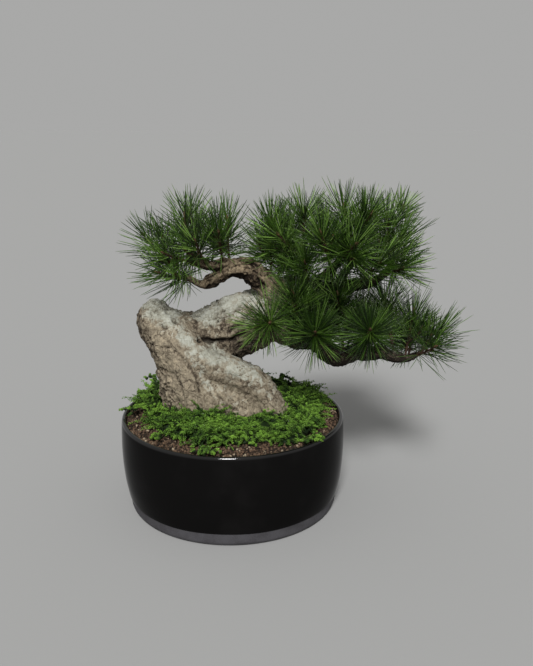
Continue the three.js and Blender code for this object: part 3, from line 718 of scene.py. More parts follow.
@dataclass(frozen=True)
class Bark:
    """Old bark: from black cracks through browns to tan, with a thin grey-green crust of lichen.

    One tone from 0 to 1 picks both the wood's and the lichen's colour. It is a middle tone, plus noise of
    four sizes, each times its weight, less what the piece's own values darken: the cracks' own dark, and
    painted shade in hollows, under branches and on shaded sides, with painted light on the upper branches.
    """

    crack: Colour = (0.014, 0.010, 0.007)
    umber: Colour = (0.098, 0.077, 0.054)
    brown: Colour = (0.235, 0.198, 0.142)
    tan: Colour = (0.370, 0.308, 0.216)
    young: Colour = (1.06, 0.99, 0.90)
    crust_dark: Colour = (0.085, 0.076, 0.056)
    crust_low: Colour = (0.215, 0.204, 0.160)
    crust_middle: Colour = (0.312, 0.309, 0.255)
    crust_pale: Colour = (0.405, 0.408, 0.352)
    middle_tone: float = 0.596
    grain_width: float = 1.7 * MM
    grain_weight: float = 1.02
    flake_width: float = 2.6 * MM
    flake_weight: float = 0.28
    spot_width: float = 2.8 * MM
    spot_weight: float = 0.5
    patch_width: float = 8 * MM
    patch_weight: float = 0.4
    lichen_lightens: float = 0.22
    depth_darkens: float = 0.56
    shade_darkens: float = 0.25
    seam_width: float = 6 * MM
    seam_edge: Span = (0.01, 0.09)
    seamed_patches: Span = (0.42, 0.56)
    seam_darkens: float = 0.34
    seam_under_lichen: float = 0.2
    crusted: Span = (0.28, 0.88)
    relief: float = 1.6 * MM

    def material(self) -> Material:
        """Makes the material, which reads the wood's values "depth", "lichen", "shade" and "young"."""
        paint = Paint("bark")
        grain = paint.noise(self.grain_width, 3, 0.75)
        spots = paint.noise(self.spot_width, 3, 0.6)
        patch = paint.noise(self.patch_width, 4, 0.6)
        where = paint.shaken(4 * MM, 5 * MM)
        flake = paint.grain_tone(self.flake_width, where)
        seam = 1 - paint.grains(self.seam_width, Scatter.EDGE, where).between(*self.seam_edge)
        seam = seam * patch.between(*self.seamed_patches)
        lichen = paint.point_value("lichen")
        tone = ((grain - 0.5) * self.grain_weight + (flake - 0.5) * self.flake_weight
                + (spots - 0.5) * self.spot_weight + (patch - 0.5) * self.patch_weight
                + lichen * self.lichen_lightens
                - seam * (self.seam_darkens - lichen * self.seam_under_lichen)
                # The depth value carries the cracks' own dark and painted shade; the shade value carries
                # painted shade and, below zero, painted light.
                - paint.point_value("depth") * self.depth_darkens
                - paint.point_value("shade") * self.shade_darkens + self.middle_tone)
        old = paint.ramp(tone, self.crack, self.umber, self.brown, self.tan)
        wood = paint.mix(paint.point_value("young"), old, paint.tinted(old, self.young))
        crust = paint.ramp(tone, self.crust_dark, self.crust_low, self.crust_middle, self.crust_pale)
        cover = lichen + (patch - 0.5) * 1.1 + (flake - 0.5) * 0.5 + (spots - 0.5) * 0.4
        rise = grain * 0.5 + spots * 0.2 + flake * 0.15 - seam * 0.3
        return paint.finished(
            Base_Color=paint.mix(cover.between(*self.crusted), wood, crust),
            Roughness=0.97 - grain * 0.1,
            Normal=paint.bump(rise, self.relief, 0.8),
            Specular_IOR_Level=0.2)


@dataclass(frozen=True)
class Needle:
    """Pine needles: waxy green, each its own shade, paler at the tip and brown in the sheath."""

    dark: Colour = (0.008, 0.021, 0.003)
    middle: Colour = (0.046, 0.106, 0.010)
    light: Colour = (0.205, 0.350, 0.070)
    tip: Colour = (0.080, 0.115, 0.036)
    sheath: Colour = (0.110, 0.060, 0.028)
    roughness: float = 0.22
    wax_width: float = 3 * MM
    tip_from: Span = (0.82, 1.0)
    tip_share: float = 0.6
    sheath_until: Span = (0.03, 0.10)

    def material(self) -> Material:
        """Makes the material, which reads the needles' own values "tone" and "along"."""
        paint = Paint("pine_needle")
        along = paint.point_value("along")
        body = paint.ramp(paint.point_value("tone"), self.dark, self.middle, self.light)
        body = paint.mix(along.between(*self.tip_from) * self.tip_share, body, self.tip)
        body = paint.mix(1 - along.between(*self.sheath_until), body, self.sheath)
        return paint.finished(
            Base_Color=body,
            Roughness=paint.noise(self.wax_width, 2) * 0.16 + self.roughness,
            Specular_IOR_Level=0.36)


@dataclass(frozen=True)
class Twig:
    """The shoots' stems and buds: dark red-brown, scaly."""

    dark: Colour = (0.030, 0.017, 0.011)
    light: Colour = (0.075, 0.038, 0.021)
    bud: Colour = (0.120, 0.070, 0.030)
    roughness: float = 0.85
    scale_width: float = 1.1 * MM
    scale_depth: float = 0.35 * MM
    stem_scales: Span = (0.4, 0.7)
    bud_scales: Span = (0.3, 0.7)

    def material(self) -> Material:
        """Makes the material, which reads the stems' own value "bud"."""
        paint = Paint("twig")
        scale = paint.noise(self.scale_width, 3, 0.6)
        stem = paint.mix(scale.between(*self.stem_scales), self.dark, self.light)
        on_bud = paint.point_value("bud") * scale.between(*self.bud_scales)
        return paint.finished(
            Base_Color=paint.mix(on_bud, stem, self.bud),
            Roughness=self.roughness - scale * 0.2,
            Normal=paint.bump(scale, self.scale_depth, 0.8),
            Specular_IOR_Level=0.3)


@dataclass(frozen=True)
class Moss:
    """Moss: fresh mid green, each sprig its own shade, with painted shade in the depth of the carpet."""

    # The colour of the painted shade deep in the carpet.
    deep: Colour = (0.007, 0.017, 0.003)
    dark: Colour = (0.022, 0.070, 0.006)
    light: Colour = (0.260, 0.480, 0.060)
    roughness: float = 0.72
    cloud_width: float = 15 * MM
    clouded: Span = (0.35, 0.65)
    sprig_share: float = 0.55
    leaf_width: float = 2 * MM
    lit_part: Span = (0.25, 0.88)

    def material(self) -> Material:
        """Makes the material, which reads the sprigs' own values "tone" and "along"."""
        paint = Paint("moss")
        cloud = paint.noise(self.cloud_width, 2)
        shade = (paint.point_value("tone") * self.sprig_share
                 + cloud.between(*self.clouded) * (1 - self.sprig_share))
        leaf = paint.mix(shade, self.dark, self.light)
        return paint.finished(
            # Low along is painted shade deep in the carpet.
            Base_Color=paint.mix(paint.point_value("along").between(*self.lit_part), self.deep, leaf),
            Roughness=self.roughness - paint.noise(self.leaf_width, 2) * 0.15,
            Specular_IOR_Level=0.25)


@dataclass(frozen=True)
class Soil:
    """Fired clay granules and grit: red-brown, with dark and pale grains among them."""

    brown: Colour = (0.122, 0.077, 0.048)
    dark: Colour = (0.020, 0.014, 0.010)
    pale: Colour = (0.300, 0.240, 0.165)
    roughness: float = 0.97
    dust_width: float = 0.7 * MM
    dust_depth: float = 0.25 * MM
    brown_tones: Span = (0.1, 0.75)
    pale_tones: Span = (0.9, 0.96)

    def material(self) -> Material:
        """Makes the material, which reads the grains' own value "tone"."""
        paint = Paint("soil_grains")
        tone = paint.point_value("tone")
        dust = paint.noise(self.dust_width, 3, 0.6)
        body = paint.mix((tone * 0.8 + dust * 0.3).between(*self.brown_tones), self.dark, self.brown)
        return paint.finished(
            Base_Color=paint.mix(tone.between(*self.pale_tones), body, self.pale),
            Roughness=self.roughness - dust * 0.1,
            Normal=paint.bump(dust, self.dust_depth, 0.8),
            Specular_IOR_Level=0.2)


@dataclass(frozen=True)
class Gravel:
    """Coarse drainage gravel, grey and buff."""

    grey: Colour = (0.19, 0.175, 0.16)
    buff: Colour = (0.36, 0.30, 0.22)
    roughness: float = 0.95
    stone_width: float = 5 * MM
    gap_depth: float = 2 * MM

    def material(self) -> Material:
        """Makes the material."""
        paint = Paint("drainage_gravel")
        shade = paint.grain_tone(self.stone_width)
        return paint.finished(
            Base_Color=paint.mix(shade, self.grey, self.buff),
            Roughness=self.roughness - shade * 0.1,
            Normal=paint.bump(1 - paint.grains(self.stone_width), self.gap_depth),
            Specular_IOR_Level=0.3)


@dataclass(frozen=True)
class MeshPlastic:
    """The black plastic of the drain screens, with a faint moulded grain."""

    colour: Colour = (0.014, 0.016, 0.017)
    worn: Colour = (0.034, 0.036, 0.037)
    roughness: float = 0.45
    grain_width: float = 0.6 * MM
    grain_depth: float = 0.05 * MM
    worn_grain: Span = (0.5, 0.8)

    def material(self) -> Material:
        """Makes the material."""
        paint = Paint("screen_plastic")
        grain = paint.noise(self.grain_width, 2)
        return paint.finished(
            Base_Color=paint.mix(grain.between(*self.worn_grain), self.colour, self.worn),
            Roughness=grain * 0.2 + self.roughness,
            Normal=paint.bump(grain, self.grain_depth, 0.5))


@dataclass(frozen=True)
class AnodisedWire:
    """Brown anodised aluminium training wire, dulled in patches."""

    colour: Colour = (0.23, 0.125, 0.065)
    dull: Colour = (0.12, 0.075, 0.048)
    roughness: float = 0.28
    wear_width: float = 2.5 * MM
    dull_wear: Span = (0.45, 0.7)

    def material(self) -> Material:
        """Makes the material."""
        paint = Paint("anodised_wire")
        wear = paint.noise(self.wear_width, 3)
        return paint.finished(
            Base_Color=paint.mix(wear.between(*self.dull_wear), self.colour, self.dull),
            Roughness=wear * 0.3 + self.roughness,
            Metallic=1.0)


@dataclass(frozen=True)
class PaleFloor:
    """The studio's plain pale floor."""

    colour: Colour = (0.325, 0.325, 0.321)

    def material(self) -> Material:
        """Makes the material."""
        paint = Paint("pale_floor")
        return paint.finished(Base_Color=self.colour, Roughness=0.9, Specular_IOR_Level=0.1)


# ------ sub-assemblies


def settle(piece: Piece, node: str) -> None:
    """Puts a new piece in its place in the object and reports it.

    Args:
        piece: The finished piece.
        node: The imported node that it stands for.
    """
    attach(piece, "root")
    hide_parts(node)
    log.info("%s: %d faces, for %s", piece.name, len(piece.data.polygons), node)


class PotFinish(IntEnum):
    """The pot's finishes, in the order that its mesh numbers them."""

    GLAZE = 0
    CLAY = 1


@dataclass
class Pot:
    """The thrown pot: a straight glazed wall with a rounded rim, over a bare band and foot."""

    radius: float = 100 * MM
    height: float = 81.5 * MM
    bore: float = 95 * MM
    floor: float = 7 * MM
    recess: float = 2.5 * MM
    band_top: float = 11.5 * MM
    band_tilt: float = 0.5 * MM
    band_wander: float = 0.25 * MM
    band_blend: float = 5 * MM
    segments: int = 224
    sharp_angle: float = 50
    drain_radius: float = 6 * MM
    drain_distance: float = 48 * MM
    drain_angles: Tuple[float, ...] = (30, 150, 270)
    drill_levels: Tuple[float, ...] = (-5, 0, 5, 10, 15)
    drill_sides: int = 40

    def profile(self) -> Tuple[Array, Array, int, int]:
        """The pot's section, from the middle of its underside round to the middle of its floor.

        Returns:
            Radii and heights, and the first and last index of the glazed stretch.
        """
        r, h, bore, floor, recess, band = (size / MM for size in (
            self.radius, self.height, self.bore, self.floor, self.recess, self.band_top))
        under = self.rounded([(0.01, 0), (26, 0, 1.2), (28.5, recess, 1.5), (69.5, recess, 1.5),
                              (72, 0, 1.2), (91.6, 0, 1.2), (93.4, 2.8, 1.4), (94.3, band - 0.05)])
        outer = self.rounded([(94.4, band), (95.0, band + 0.15, 0.3), (95.9, 14.8, 3), (98.1, 26, 6),
                              (99.6, 42, 8), (r, 57, 8), (99.4, 76, 4), (98.9, h - 1.0, 1.6),
                              (97.2, h, 1.5), (95.7, h - 0.4, 1.1), (95.1, h - 3, 1.2), (bore, 70)])
        inner = self.rounded([(bore, 69.8), (bore, 19, 8), (83, floor, 8), (0.01, floor)])
        section = np.array(under + outer + inner) * MM
        return section[:, 0], section[:, 1], len(under), len(under) + len(outer) - 1

    @staticmethod
    def rounded(corners: Sequence[Tuple[float, ...]], steps: int = 7) -> List[Tuple[float, float]]:
        """A line through corners, each cut back by its own distance and rounded.

        A rounded corner is the parabola from one cut before the corner to one cut after it, with the
        corner as its control point. No cut reaches half of the way to the next corner.

        Args:
            corners: Radius, height and, but for the ends, the cut.
            steps: Points on each rounded corner.

        Returns:
            The points in order.
        """
        made: List[Tuple[float, float]] = [corners[0]]
        for before, corner, after in zip(corners, corners[1:], corners[2:]):
            middle = np.array(corner[:2])
            back, on = np.array(before[:2]) - middle, np.array(after[:2]) - middle
            start = middle + unit(back) * min(corner[2], 0.48 * np.linalg.norm(back))
            end = middle + unit(on) * min(corner[2], 0.48 * np.linalg.norm(on))
            made += [tuple(point) for point in arc(start, middle, end, steps)]
        made.append(corners[-1])
        return made

    def build(self) -> None:
        """Turns the section round Z, tilts the glaze's lower edge and drills the drain holes."""
        radii, heights, glaze_from, glaze_to = self.profile()
        rows = turned(radii, heights, self.segments)
        near = np.exp(-(((heights - self.band_top) / self.band_blend) ** 2))
        near[(heights < 3 * MM) | (radii < 0.9 * self.radius)] = 0
        near[glaze_to:] = 0
        rows[..., 2] += near[:, None] * self.band_edge()
        skin = Skin()
        skin.grid(rows)
        faces, _ = skin.faces[0]
        ring = np.repeat(np.arange(len(radii) - 1), self.segments)
        glazed = (ring >= glaze_from) & (ring <= glaze_to)
        caps = [(array, PotFinish.CLAY) for array, _ in skin.faces[1:]]
        skin.faces = [(faces[glazed], PotFinish.GLAZE), (faces[~glazed], PotFinish.CLAY), *caps]
        blank = skin.object("pot_blank", [Glaze().material(), BareClay().material()])
        drills = [self.drill(number, turn) for number, turn in enumerate(self.drain_angles)]
        for tool in drills:
            cut = blank.modifiers.new("drain", "BOOLEAN")
            cut.operation, cut.solver, cut.object = "DIFFERENCE", "EXACT", tool
        pot = in_scene("pot_glazed", finished_mesh(blank))
        for tool in [blank, *drills]:
            discard(tool)
        pot.data.set_sharp_from_angle(angle=math.radians(self.sharp_angle))
        settle(pot, "pot")

    def band_edge(self) -> Array:
        """How far the glaze's lower edge lies above its mean height, for each segment."""
        angle = circle(self.segments)
        wander = self.band_wander * (np.sin(3 * angle + 0.7) + 0.6 * np.sin(8 * angle + 2.1))
        return self.band_tilt * np.cos(angle) + wander

    def drill(self, number: int, turn: float) -> Piece:
        """A rod in the place of one drain hole."""
        angle = math.radians(turn)
        x, y = self.drain_distance * math.cos(angle), self.drain_distance * math.sin(angle)
        path = np.array([(x, y, level * MM) for level in self.drill_levels])
        skin = Skin()
        skin.grid(tube(path, np.full(len(path), self.drain_radius), self.drill_sides))
        return skin.object(f"drill_{number}", [], smooth=False)


@dataclass
class Ground:
    """What fills the pot: gravel on screens, the tie wire, and soil with loose grains on top."""

    edge: float = 94.7 * MM
    edge_height: float = 77.5 * MM
    rise: float = 7 * MM
    pot_radius: float = 100 * MM
    underside: Tuple[Span, ...] = ((0.1, 18.3), (60, 18.3), (92.6, 18.3), (94.7, 24.5), (94.7, 50))
    crust_drop: float = 1.1 * MM
    crust_rings: int = 60
    crust_segments: int = 180
    crumb_width: float = 1.8 * MM
    crumb_height: float = 0.5 * MM
    bed_tone: float = 0.02
    grain_count: int = 5200
    grain_from: float = 66 * MM
    grain_radius: Span = (0.55 * MM, 1.35 * MM)
    grain_lift: Span = (-1.2 * MM, 0.5 * MM)
    corner_spread: Span = (0.78, 1.2)
    flatness: Span = (0.75, 1.15)
    wire_radius: float = 0.8 * MM
    wire_step: float = 1.6 * MM
    wire_sides: int = 14

    def height(self, radius: Array) -> Array:
        """The mound: highest in the middle, falling with the square of the distance."""
        return self.edge_height + self.rise * (1 - (radius / self.pot_radius) ** 2)

    def build(self, random: Random) -> None:
        """Makes soil and wire, and dresses the gravel and the screens."""
        self.build_soil(random)
        self.build_wire()
        self.dress("drainage_gravel", Gravel().material())
        plastic = MeshPlastic().material()
        for number in (1, 2, 3):
            self.dress(f"drain_screen_{number}", plastic)

    @staticmethod
    def dress(node: str, finish: Material) -> None:
        """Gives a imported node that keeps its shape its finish."""
        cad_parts[node].data.materials.clear()
        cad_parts[node].data.materials.append(finish)

    def build_soil(self, random: Random) -> None:
        """The body of the soil as a turned solid with a rough top, and the grains that lie on it."""
        top = np.linspace(1, 0.002, self.crust_rings) * self.edge
        side = np.array(self.underside) * MM
        radii = np.concatenate([side[:, 0], top])
        heights = np.concatenate([side[:, 1], self.height(top) - self.crust_drop])
        rows = turned(radii, heights, self.crust_segments)
        loose = np.arange(len(radii)) > len(side)
        rough = lumps(rows.reshape(-1, 3) / self.crumb_width, Seed.SOIL_CRUST).reshape(rows.shape[:2])
        rows[..., 2] += self.crumb_height * rough * loose[:, None]
        skin = Skin()
        skin.grid(rows, tone=self.bed_tone)
        self.scatter(skin, random)
        settle(skin.object("soil_grains", [Soil().material()], smooth=False), "soil")

    def scatter(self, skin: Skin, random: Random) -> None:
        """Adds loose grains.

        A grain is an icosahedron whose twelve corners are each moved in or out by up to a quarter,
        turned about a random axis and flattened a little. Its place is drawn evenly over the ring.

        Args:
            skin: The soil so far.
            random: Where the draws come from.
        """
        corners, faces = icosahedron()
        count = self.grain_count
        inner, outer = self.grain_from, self.edge - 0.5 * MM
        radius = np.sqrt(random.uniform(inner**2, outer**2, count))
        angle = random.uniform(0, 2 * np.pi, count)
        size = random.uniform(*self.grain_radius, count)
        lift = random.uniform(*self.grain_lift, count)
        centre = np.stack([radius * np.cos(angle), radius * np.sin(angle), self.height(radius) + lift],
                          axis=1)
        shape = corners[None] * random.uniform(*self.corner_spread, (count, len(corners), 1))
        shape = shape * random.uniform(*self.flatness, (count, 1, 3))
        shape = np.einsum("nij,nkj->nki", turns(random, count), shape)
        room = (self.edge - np.hypot(centre[:, 0], centre[:, 1]))[:, None, None]
        points = centre[:, None] + shape * np.minimum(size[:, None, None], room)
        index = (faces[None] + np.arange(count)[:, None, None] * len(corners)).reshape(-1, 3)
        tone = np.repeat(random.uniform(0, 1, count), len(corners))
        skin.add(points.reshape(-1, 3), [index], tone=tone)

    def build_wire(self) -> None:
        """The tie wire as a round bar along its route."""
        path, _ = Line(np.array(TIE_WIRE) * MM).evenly(self.wire_step)
        skin = Skin()
        skin.grid(tube(path, np.full(len(path), self.wire_radius), self.wire_sides))
        settle(skin.object("tie_wire_bar", [AnodisedWire().material()]), "tie_wire")


def icosahedron() -> Tuple[Array, Array]:
    """The corners of an icosahedron of radius one, and its twenty faces."""
    g = (1 + math.sqrt(5)) / 2
    corners = [(-1, g, 0), (1, g, 0), (-1, -g, 0), (1, -g, 0), (0, -1, g), (0, 1, g), (0, -1, -g),
               (0, 1, -g), (g, 0, -1), (g, 0, 1), (-g, 0, -1), (-g, 0, 1)]
    faces = [(0, 11, 5), (0, 5, 1), (0, 1, 7), (0, 7, 10), (0, 10, 11), (1, 5, 9), (5, 11, 4), (11, 10, 2),
             (10, 7, 6), (7, 1, 8), (3, 9, 4), (3, 4, 2), (3, 2, 6), (3, 6, 8), (3, 8, 9), (4, 9, 5),
             (2, 4, 11), (6, 2, 10), (8, 6, 7), (9, 8, 1)]
    return unit(np.array(corners, float)), np.array(faces)


def turns(random: Random, count: int) -> Array:
    """Random rotations, as count matrices of three by three, from random unit quaternions."""
    w, x, y, z = unit(random.normal(size=(count, 4))).T
    return np.stack([1 - 2 * (y * y + z * z), 2 * (x * y - z * w), 2 * (x * z + y * w),
                     2 * (x * y + z * w), 1 - 2 * (x * x + z * z), 2 * (y * z - x * w),
                     2 * (x * z - y * w), 2 * (y * z + x * w), 1 - 2 * (x * x + y * y)],
                    axis=-1).reshape(-1, 3, 3)


@dataclass
class Mark:
    """A crack, a hollow or a band of lichen on the bark, along a line seen from the front.

    The line is given in millimetres on an upright plane. Each point is carried along its sight line
    to that plane, and its share of the mark is exp(-(d / width)²), with d its distance from the line
    there. At a full share the bark is raised by depth, darkened by dark and given crust more lichen.
    Past reach from the plane there is no mark.
    """

    line: List[Tuple[float, float]]
    plane: float
    width: float
    depth: float = 0.0
    dark: float = 0.0
    reach: float = 22.0
    crust: float = 0.0

    def share(self, points: Array) -> Array:
        """How much of the mark each point gets, from 0 to 1."""
        eye = np.array(EYE)
        part = (self.plane * MM - eye[1]) / (points[:, 1] - eye[1])
        flat = (eye[[0, 2]] + (points[:, [0, 2]] - eye[[0, 2]]) * part[:, None]) / MM
        nearest = np.full(len(points), 1e3)
        for start, end in zip(np.array(self.line), np.array(self.line[1:])):
            run = end - start
            along = np.clip((flat - start) @ run / (run @ run), 0, 1)
            nearest = np.minimum(nearest, np.linalg.norm(flat - start - along[:, None] * run, axis=1))
        near_plane = np.abs(points[:, 1] / MM - self.plane) < self.reach
        return np.exp(-((nearest / self.width) ** 2)) * near_plane


# Marks on the front of the wood: x and z along each, then its plane, width and depth.
MARKS = {
    "facet_crack": Mark([(-60, 148), (-52, 149), (-42, 140), (-37, 133), (-30, 122), (-27, 105)],
        -22, 1.2, -1.5, dark=0.5),
    "facet_side_crack": Mark([(-58, 128), (-50, 124), (-44, 116), (-42, 104)], -20, 1.0, -0.8, dark=0.35),
    "crest_hollow": Mark([(-11, 132), (-4, 127), (5, 120), (14, 112), (22, 100)], -26, 8.0, -2.2, dark=0.17),
    "smooth_groove": Mark([(-27, 132), (-24, 124), (-22, 114), (-22, 103)], -29, 5.0, -0.9),
    "low_crack": Mark([(-11, 108), (-5, 99), (3, 95)], -30, 1.1, -1.2, dark=0.45),
    "slit_left": Mark([(-59.4, 167), (-56, 164.4)], -16, 1.6, -2.6, dark=1.6),
    "slit_right": Mark([(-49, 171), (-46.9, 169.5)], -16, 1.6, -2.6, dark=1.6, reach=30),
    "arm_fissure": Mark([(-28, 149.6), (-22, 150.7), (-17, 148), (-10, 149), (0, 149), (3, 152), (10, 155)],
        -3, 1.8, -4.6, dark=1.4),
    "arm_scales": Mark([(-18, 141), (-6, 140), (6, 142), (18, 147)], -3, 6.5, -1.0, dark=0.35),
    "arm_upper_crack": Mark([(-16, 168.5), (-12, 173), (-7, 176)], -2, 1.2, -2.2, dark=0.8),
    "arm_middle_crack": Mark([(-3, 156.5), (2, 161), (8, 163)], -2, 1.2, -2.2, dark=0.9),
    "branch_hollow": Mark([(1.5, 204.7), (5.8, 205.1)], 0, 2.2, -2.6, dark=1.2, reach=12),
    "branch_knot": Mark([(18.7, 205.1), (24.7, 201.6)], 0, 2.0, -2.0, dark=1.0, reach=14),
    "pale_crest": Mark([(-72, 183), (-62, 181), (-55, 175), (-50, 164), (-39, 155), (-26, 144),
        (-10, 136), (7, 126), (25, 114)], -20, 8.5, reach=34, crust=0.34),
    "worn_streak": Mark([(-40, 156), (-33, 143), (-26, 130), (-22, 116), (-18, 104)], -26, 5.0, crust=0.30),
    "pale_arm": Mark([(-22, 168), (-10, 179), (-3, 185), (8, 187), (18, 187)], 0, 7.5,
        dark=-0.12, reach=26, crust=0.45),
    "brown_arm": Mark([(-16, 158), (0, 157), (14, 162)], -2, 8.0, dark=0.08, reach=30, crust=-0.15),
    "grey_foot": Mark([(-10, 112), (4, 106), (20, 98), (34, 92)], -30, 9.0, dark=-0.31, reach=30, crust=0.1),
    "brown_elbow": Mark([(-42, 170), (-33, 161), (-25, 153)], -2, 8.0, dark=0.1, reach=30, crust=-0.5),
    "brown_edge": Mark([(-82, 176), (-80, 162), (-76, 148), (-70, 132)], -5, 6.0,
        dark=0.2, reach=30, crust=-0.5),
    "brown_facet": Mark([(-62, 152), (-56, 135), (-52, 118), (-50, 100)], -18, 13.0,
        dark=-0.36, reach=30, crust=-0.1),
}


def trunk_sides(height: Array) -> List[Array]:
    """How far the lower trunk reaches left, right, front and back at each height, in metres."""
    table = np.array(LOWER_TRUNK, float) * MM
    return [np.interp(height, table[:, 0], table[:, side]) for side in range(1, 5)]


def limb(name: str) -> Array:
    """A limb's stations in metres."""
    return np.array(LIMBS[name], float) * MM


def thickness(stations: Array, parts: Union[float, Array]) -> Array:
    """A limb's radius at parts from 0 to 1 of its length."""
    return np.interp(parts * (len(stations) - 1), np.arange(len(stations)), stations[:, 3])


@dataclass
class Wood:
    """Trunk, arm, branches and roots as one grown piece, with its bark."""

    voxel: float = 0.99 * MM
    root_voxel: float = 2.4 * MM
    trunk_levels: Span = (66 * MM, 183 * MM)
    root_levels: Span = (52 * MM, 76 * MM)
    trunk_rings: int = 60
    trunk_segments: int = 64
    limb_step: float = 2 * MM
    limb_segments: int = 28
    smoothing: int = 6
    spine_step: float = 3 * MM
    full_radius: float = 24 * MM
    bole_radii: Span = (9 * MM, 17 * MM)
    lump_width: float = 26 * MM
    lump_height: float = 1.9 * MM
    swell_width: float = 11 * MM
    swell_height: float = 1.5 * MM
    knob_width: float = 7 * MM
    knob_share: float = 0.23
    knob_heights: Span = (0.3 * MM, 2.4 * MM)
    sway_width: float = 5 * MM
    sway_reach: float = 1.3 * MM
    fissure_size: Point = (17 * MM, 5.5 * MM, 5.5 * MM)
    fissure_edge: Span = (0.02, 0.24)
    fissure_depth: float = 2.0 * MM
    fissure_patch: float = 9 * MM
    plate_size: Point = (7 * MM, 4.2 * MM, 4.2 * MM)
    plate_rise: float = 0.7 * MM
    groove_depth: float = 1.1 * MM
    broken_width: float = 15 * MM
    grit_width: float = 2.3 * MM
    grit_height: float = 0.34 * MM
    fine_width: float = 1.3 * MM
    fine_height: float = 0.22 * MM
    mark_width: float = 3.5 * MM
    young_heights: Span = (188 * MM, 200 * MM)
    crag: float = 0.55
    crag_radii: Span = (4 * MM, 8 * MM)
    calmness: float = 0.74
    lichen_side: Point = (0.42, -0.22, 0.88)
    lichen_width: float = 16 * MM

    def build(self) -> None:
        """Grows the wood above the soil finely, and what the soil hides coarsely."""
        bark = Bark().material()
        roots = [name for name in LIMBS if name.startswith("root_")]
        above = [name for name in LIMBS if name not in roots]
        self.grow("trunk_bark", self.trunk_levels, above, self.voxel, bark)
        self.grow("root_bark", self.root_levels, roots, self.root_voxel, bark)

    def grow(self, title: str, levels: Span, limbs: List[str], voxel: float, bark: Material) -> None:
        """Fuses part of the lower trunk with limbs, roughens the bark and dresses it.

        Args:
            title: The new piece's name.
            levels: The lowest and highest level of the lower trunk to take.
            limbs: The names of the limbs.
            voxel: How fine the fused skin is.
            bark: Its finish.
        """
        blank = self.blank(levels, limbs)
        fuse = blank.modifiers.new("fuse", "REMESH")
        fuse.mode, fuse.voxel_size = "VOXEL", voxel
        soften = blank.modifiers.new("soften", "SMOOTH")
        soften.factor, soften.iterations = 0.5, self.smoothing
        mesh = finished_mesh(blank)
        discard(blank)
        points, normals = read_points(mesh, "co"), read_points(mesh, "normal")
        height, depth = self.relief(points, normals, limbs)
        mesh.vertices.foreach_set("co", (points + normals * height[:, None]).astype(np.float32).ravel())
        mesh.update()
        # Depth carries the cracks' own dark and painted shade, with painted shade added under the upper
        # branches; shade carries painted shade and light.
        values = {"depth": depth + 0.7 * self.painted_underside_shade(points, normals),
                  "lichen": self.lichen(points, normals), "shade": self.shade(points, normals),
                  "young": self.young(points)}
        for name, value in values.items():
            mesh.attributes.new(name, "FLOAT", "POINT").data.foreach_set("value", value.astype(np.float32))
        mesh.polygons.foreach_set("use_smooth", np.ones(len(mesh.polygons), bool))
        mesh.materials.append(bark)
        settle(in_scene(title, mesh), "trunk")

    def blank(self, levels: Span, limbs: List[str]) -> Piece:
        """The lower trunk and the limbs as plain closed tubes that run into each other."""
        skin = Skin()
        height = np.linspace(*levels, self.trunk_rings)
        left, right, front, back = trunk_sides(height)
        angle = circle(self.trunk_segments)
        skin.grid(np.stack([
            ((left + right) / 2)[:, None] + ((right - left) / 2)[:, None] * np.cos(angle),
            ((front + back) / 2)[:, None] + ((back - front) / 2)[:, None] * np.sin(angle),
            np.repeat(height[:, None], len(angle), axis=1)], axis=-1))
        for name in limbs:
            skin.grid(self.limb_rings(limb(name)))
        return skin.object("wood_blank", [])

    def limb_rings(self, stations: Array) -> Array:
        """A limb's rings, with a rounded end past its first and its last station."""
        path, parts = Line(stations).evenly(self.limb_step)
        radius = thickness(stations, parts)
        start, finish = unit(path[0] - path[1]), unit(path[-1] - path[-2])
        path = np.vstack([path[0] + start * radius[0] * 0.45, path, path[-1] + finish * radius[-1] * 0.45])
        radius = np.concatenate([[radius[0] * 0.55], radius, [radius[-1] * 0.55]])
        return tube(path, radius, self.limb_segments)

    def spines(self, limbs: List[str]) -> List[Array]:
        """For the lower trunk and each limb: rows of centre, two cross axes, length run and radius."""
        level = np.array(LOWER_TRUNK, float)[:, 0] * MM
        left, right, front, back = trunk_sides(level)
        middle = np.stack([(left + right) / 2, (front + back) / 2, level,
                           (right - left + back - front) / 4], axis=1)
        made = []
        for stations in [middle, *(limb(name) for name in limbs)]:
            path, parts = Line(stations).evenly(self.spine_step)
            rings = tube(path, np.ones(len(path)), 4)
            first, second = rings[:, 0] - path, rings[:, 1] - path
            made.append(np.column_stack([path, first, second, length_run(path), thickness(stations, parts)]))
        return made

    def along_limbs(self, points: Array, limbs: List[str]) -> Tuple[Array, Array, Array]:
        """Each point in its own limb's terms.

        A point belongs to the limb whose nearest spine point is the fewest radii away. Its place is
        the length run along the spine and the offset from it along the two cross axes.

        Args:
            points: Places on the wood.
            limbs: The names of the limbs that the wood has there.

        Returns:
            Those three numbers for each point, the limb's radius there, and how clearly the point
            belongs to that limb, which is 0 where two limbs meet.
        """
        best = np.full(len(points), 1e9)
        other = np.full(len(points), 1e9)
        local = np.zeros((len(points), 3))
        radius = np.zeros(len(points))
        for number, spine in enumerate(self.spines(limbs)):
            reach, place = self.nearest_on(spine, points)
            closer = reach < best
            other = np.where(closer, best, np.minimum(other, reach))
            best = np.where(closer, reach, best)
            row = spine[place]
            offset = points - row[:, :3]
            mine = np.stack([row[:, 9] + number * 0.37, (offset * row[:, 3:6]).sum(axis=1),
                             (offset * row[:, 6:9]).sum(axis=1)], axis=1)
            local = np.where(closer[:, None], mine, local)
            radius = np.where(closer, row[:, 10], radius)
        return local, radius, ease(0.0, 0.35, other - best)

    @staticmethod
    def nearest_on(spine: Array, points: Array) -> Tuple[Array, Array]:
        """How many radii each point is from a spine, and the row of the spine that is nearest."""
        reach = np.empty(len(points))
        place = np.empty(len(points), int)
        for start in range(0, len(points), 20000):
            batch = slice(start, start + 20000)
            gap = np.linalg.norm(points[batch, None] - spine[None, :, :3], axis=2) / spine[None, :, 10]
            place[batch] = gap.argmin(axis=1)
            reach[batch] = gap.min(axis=1)
        return reach, place

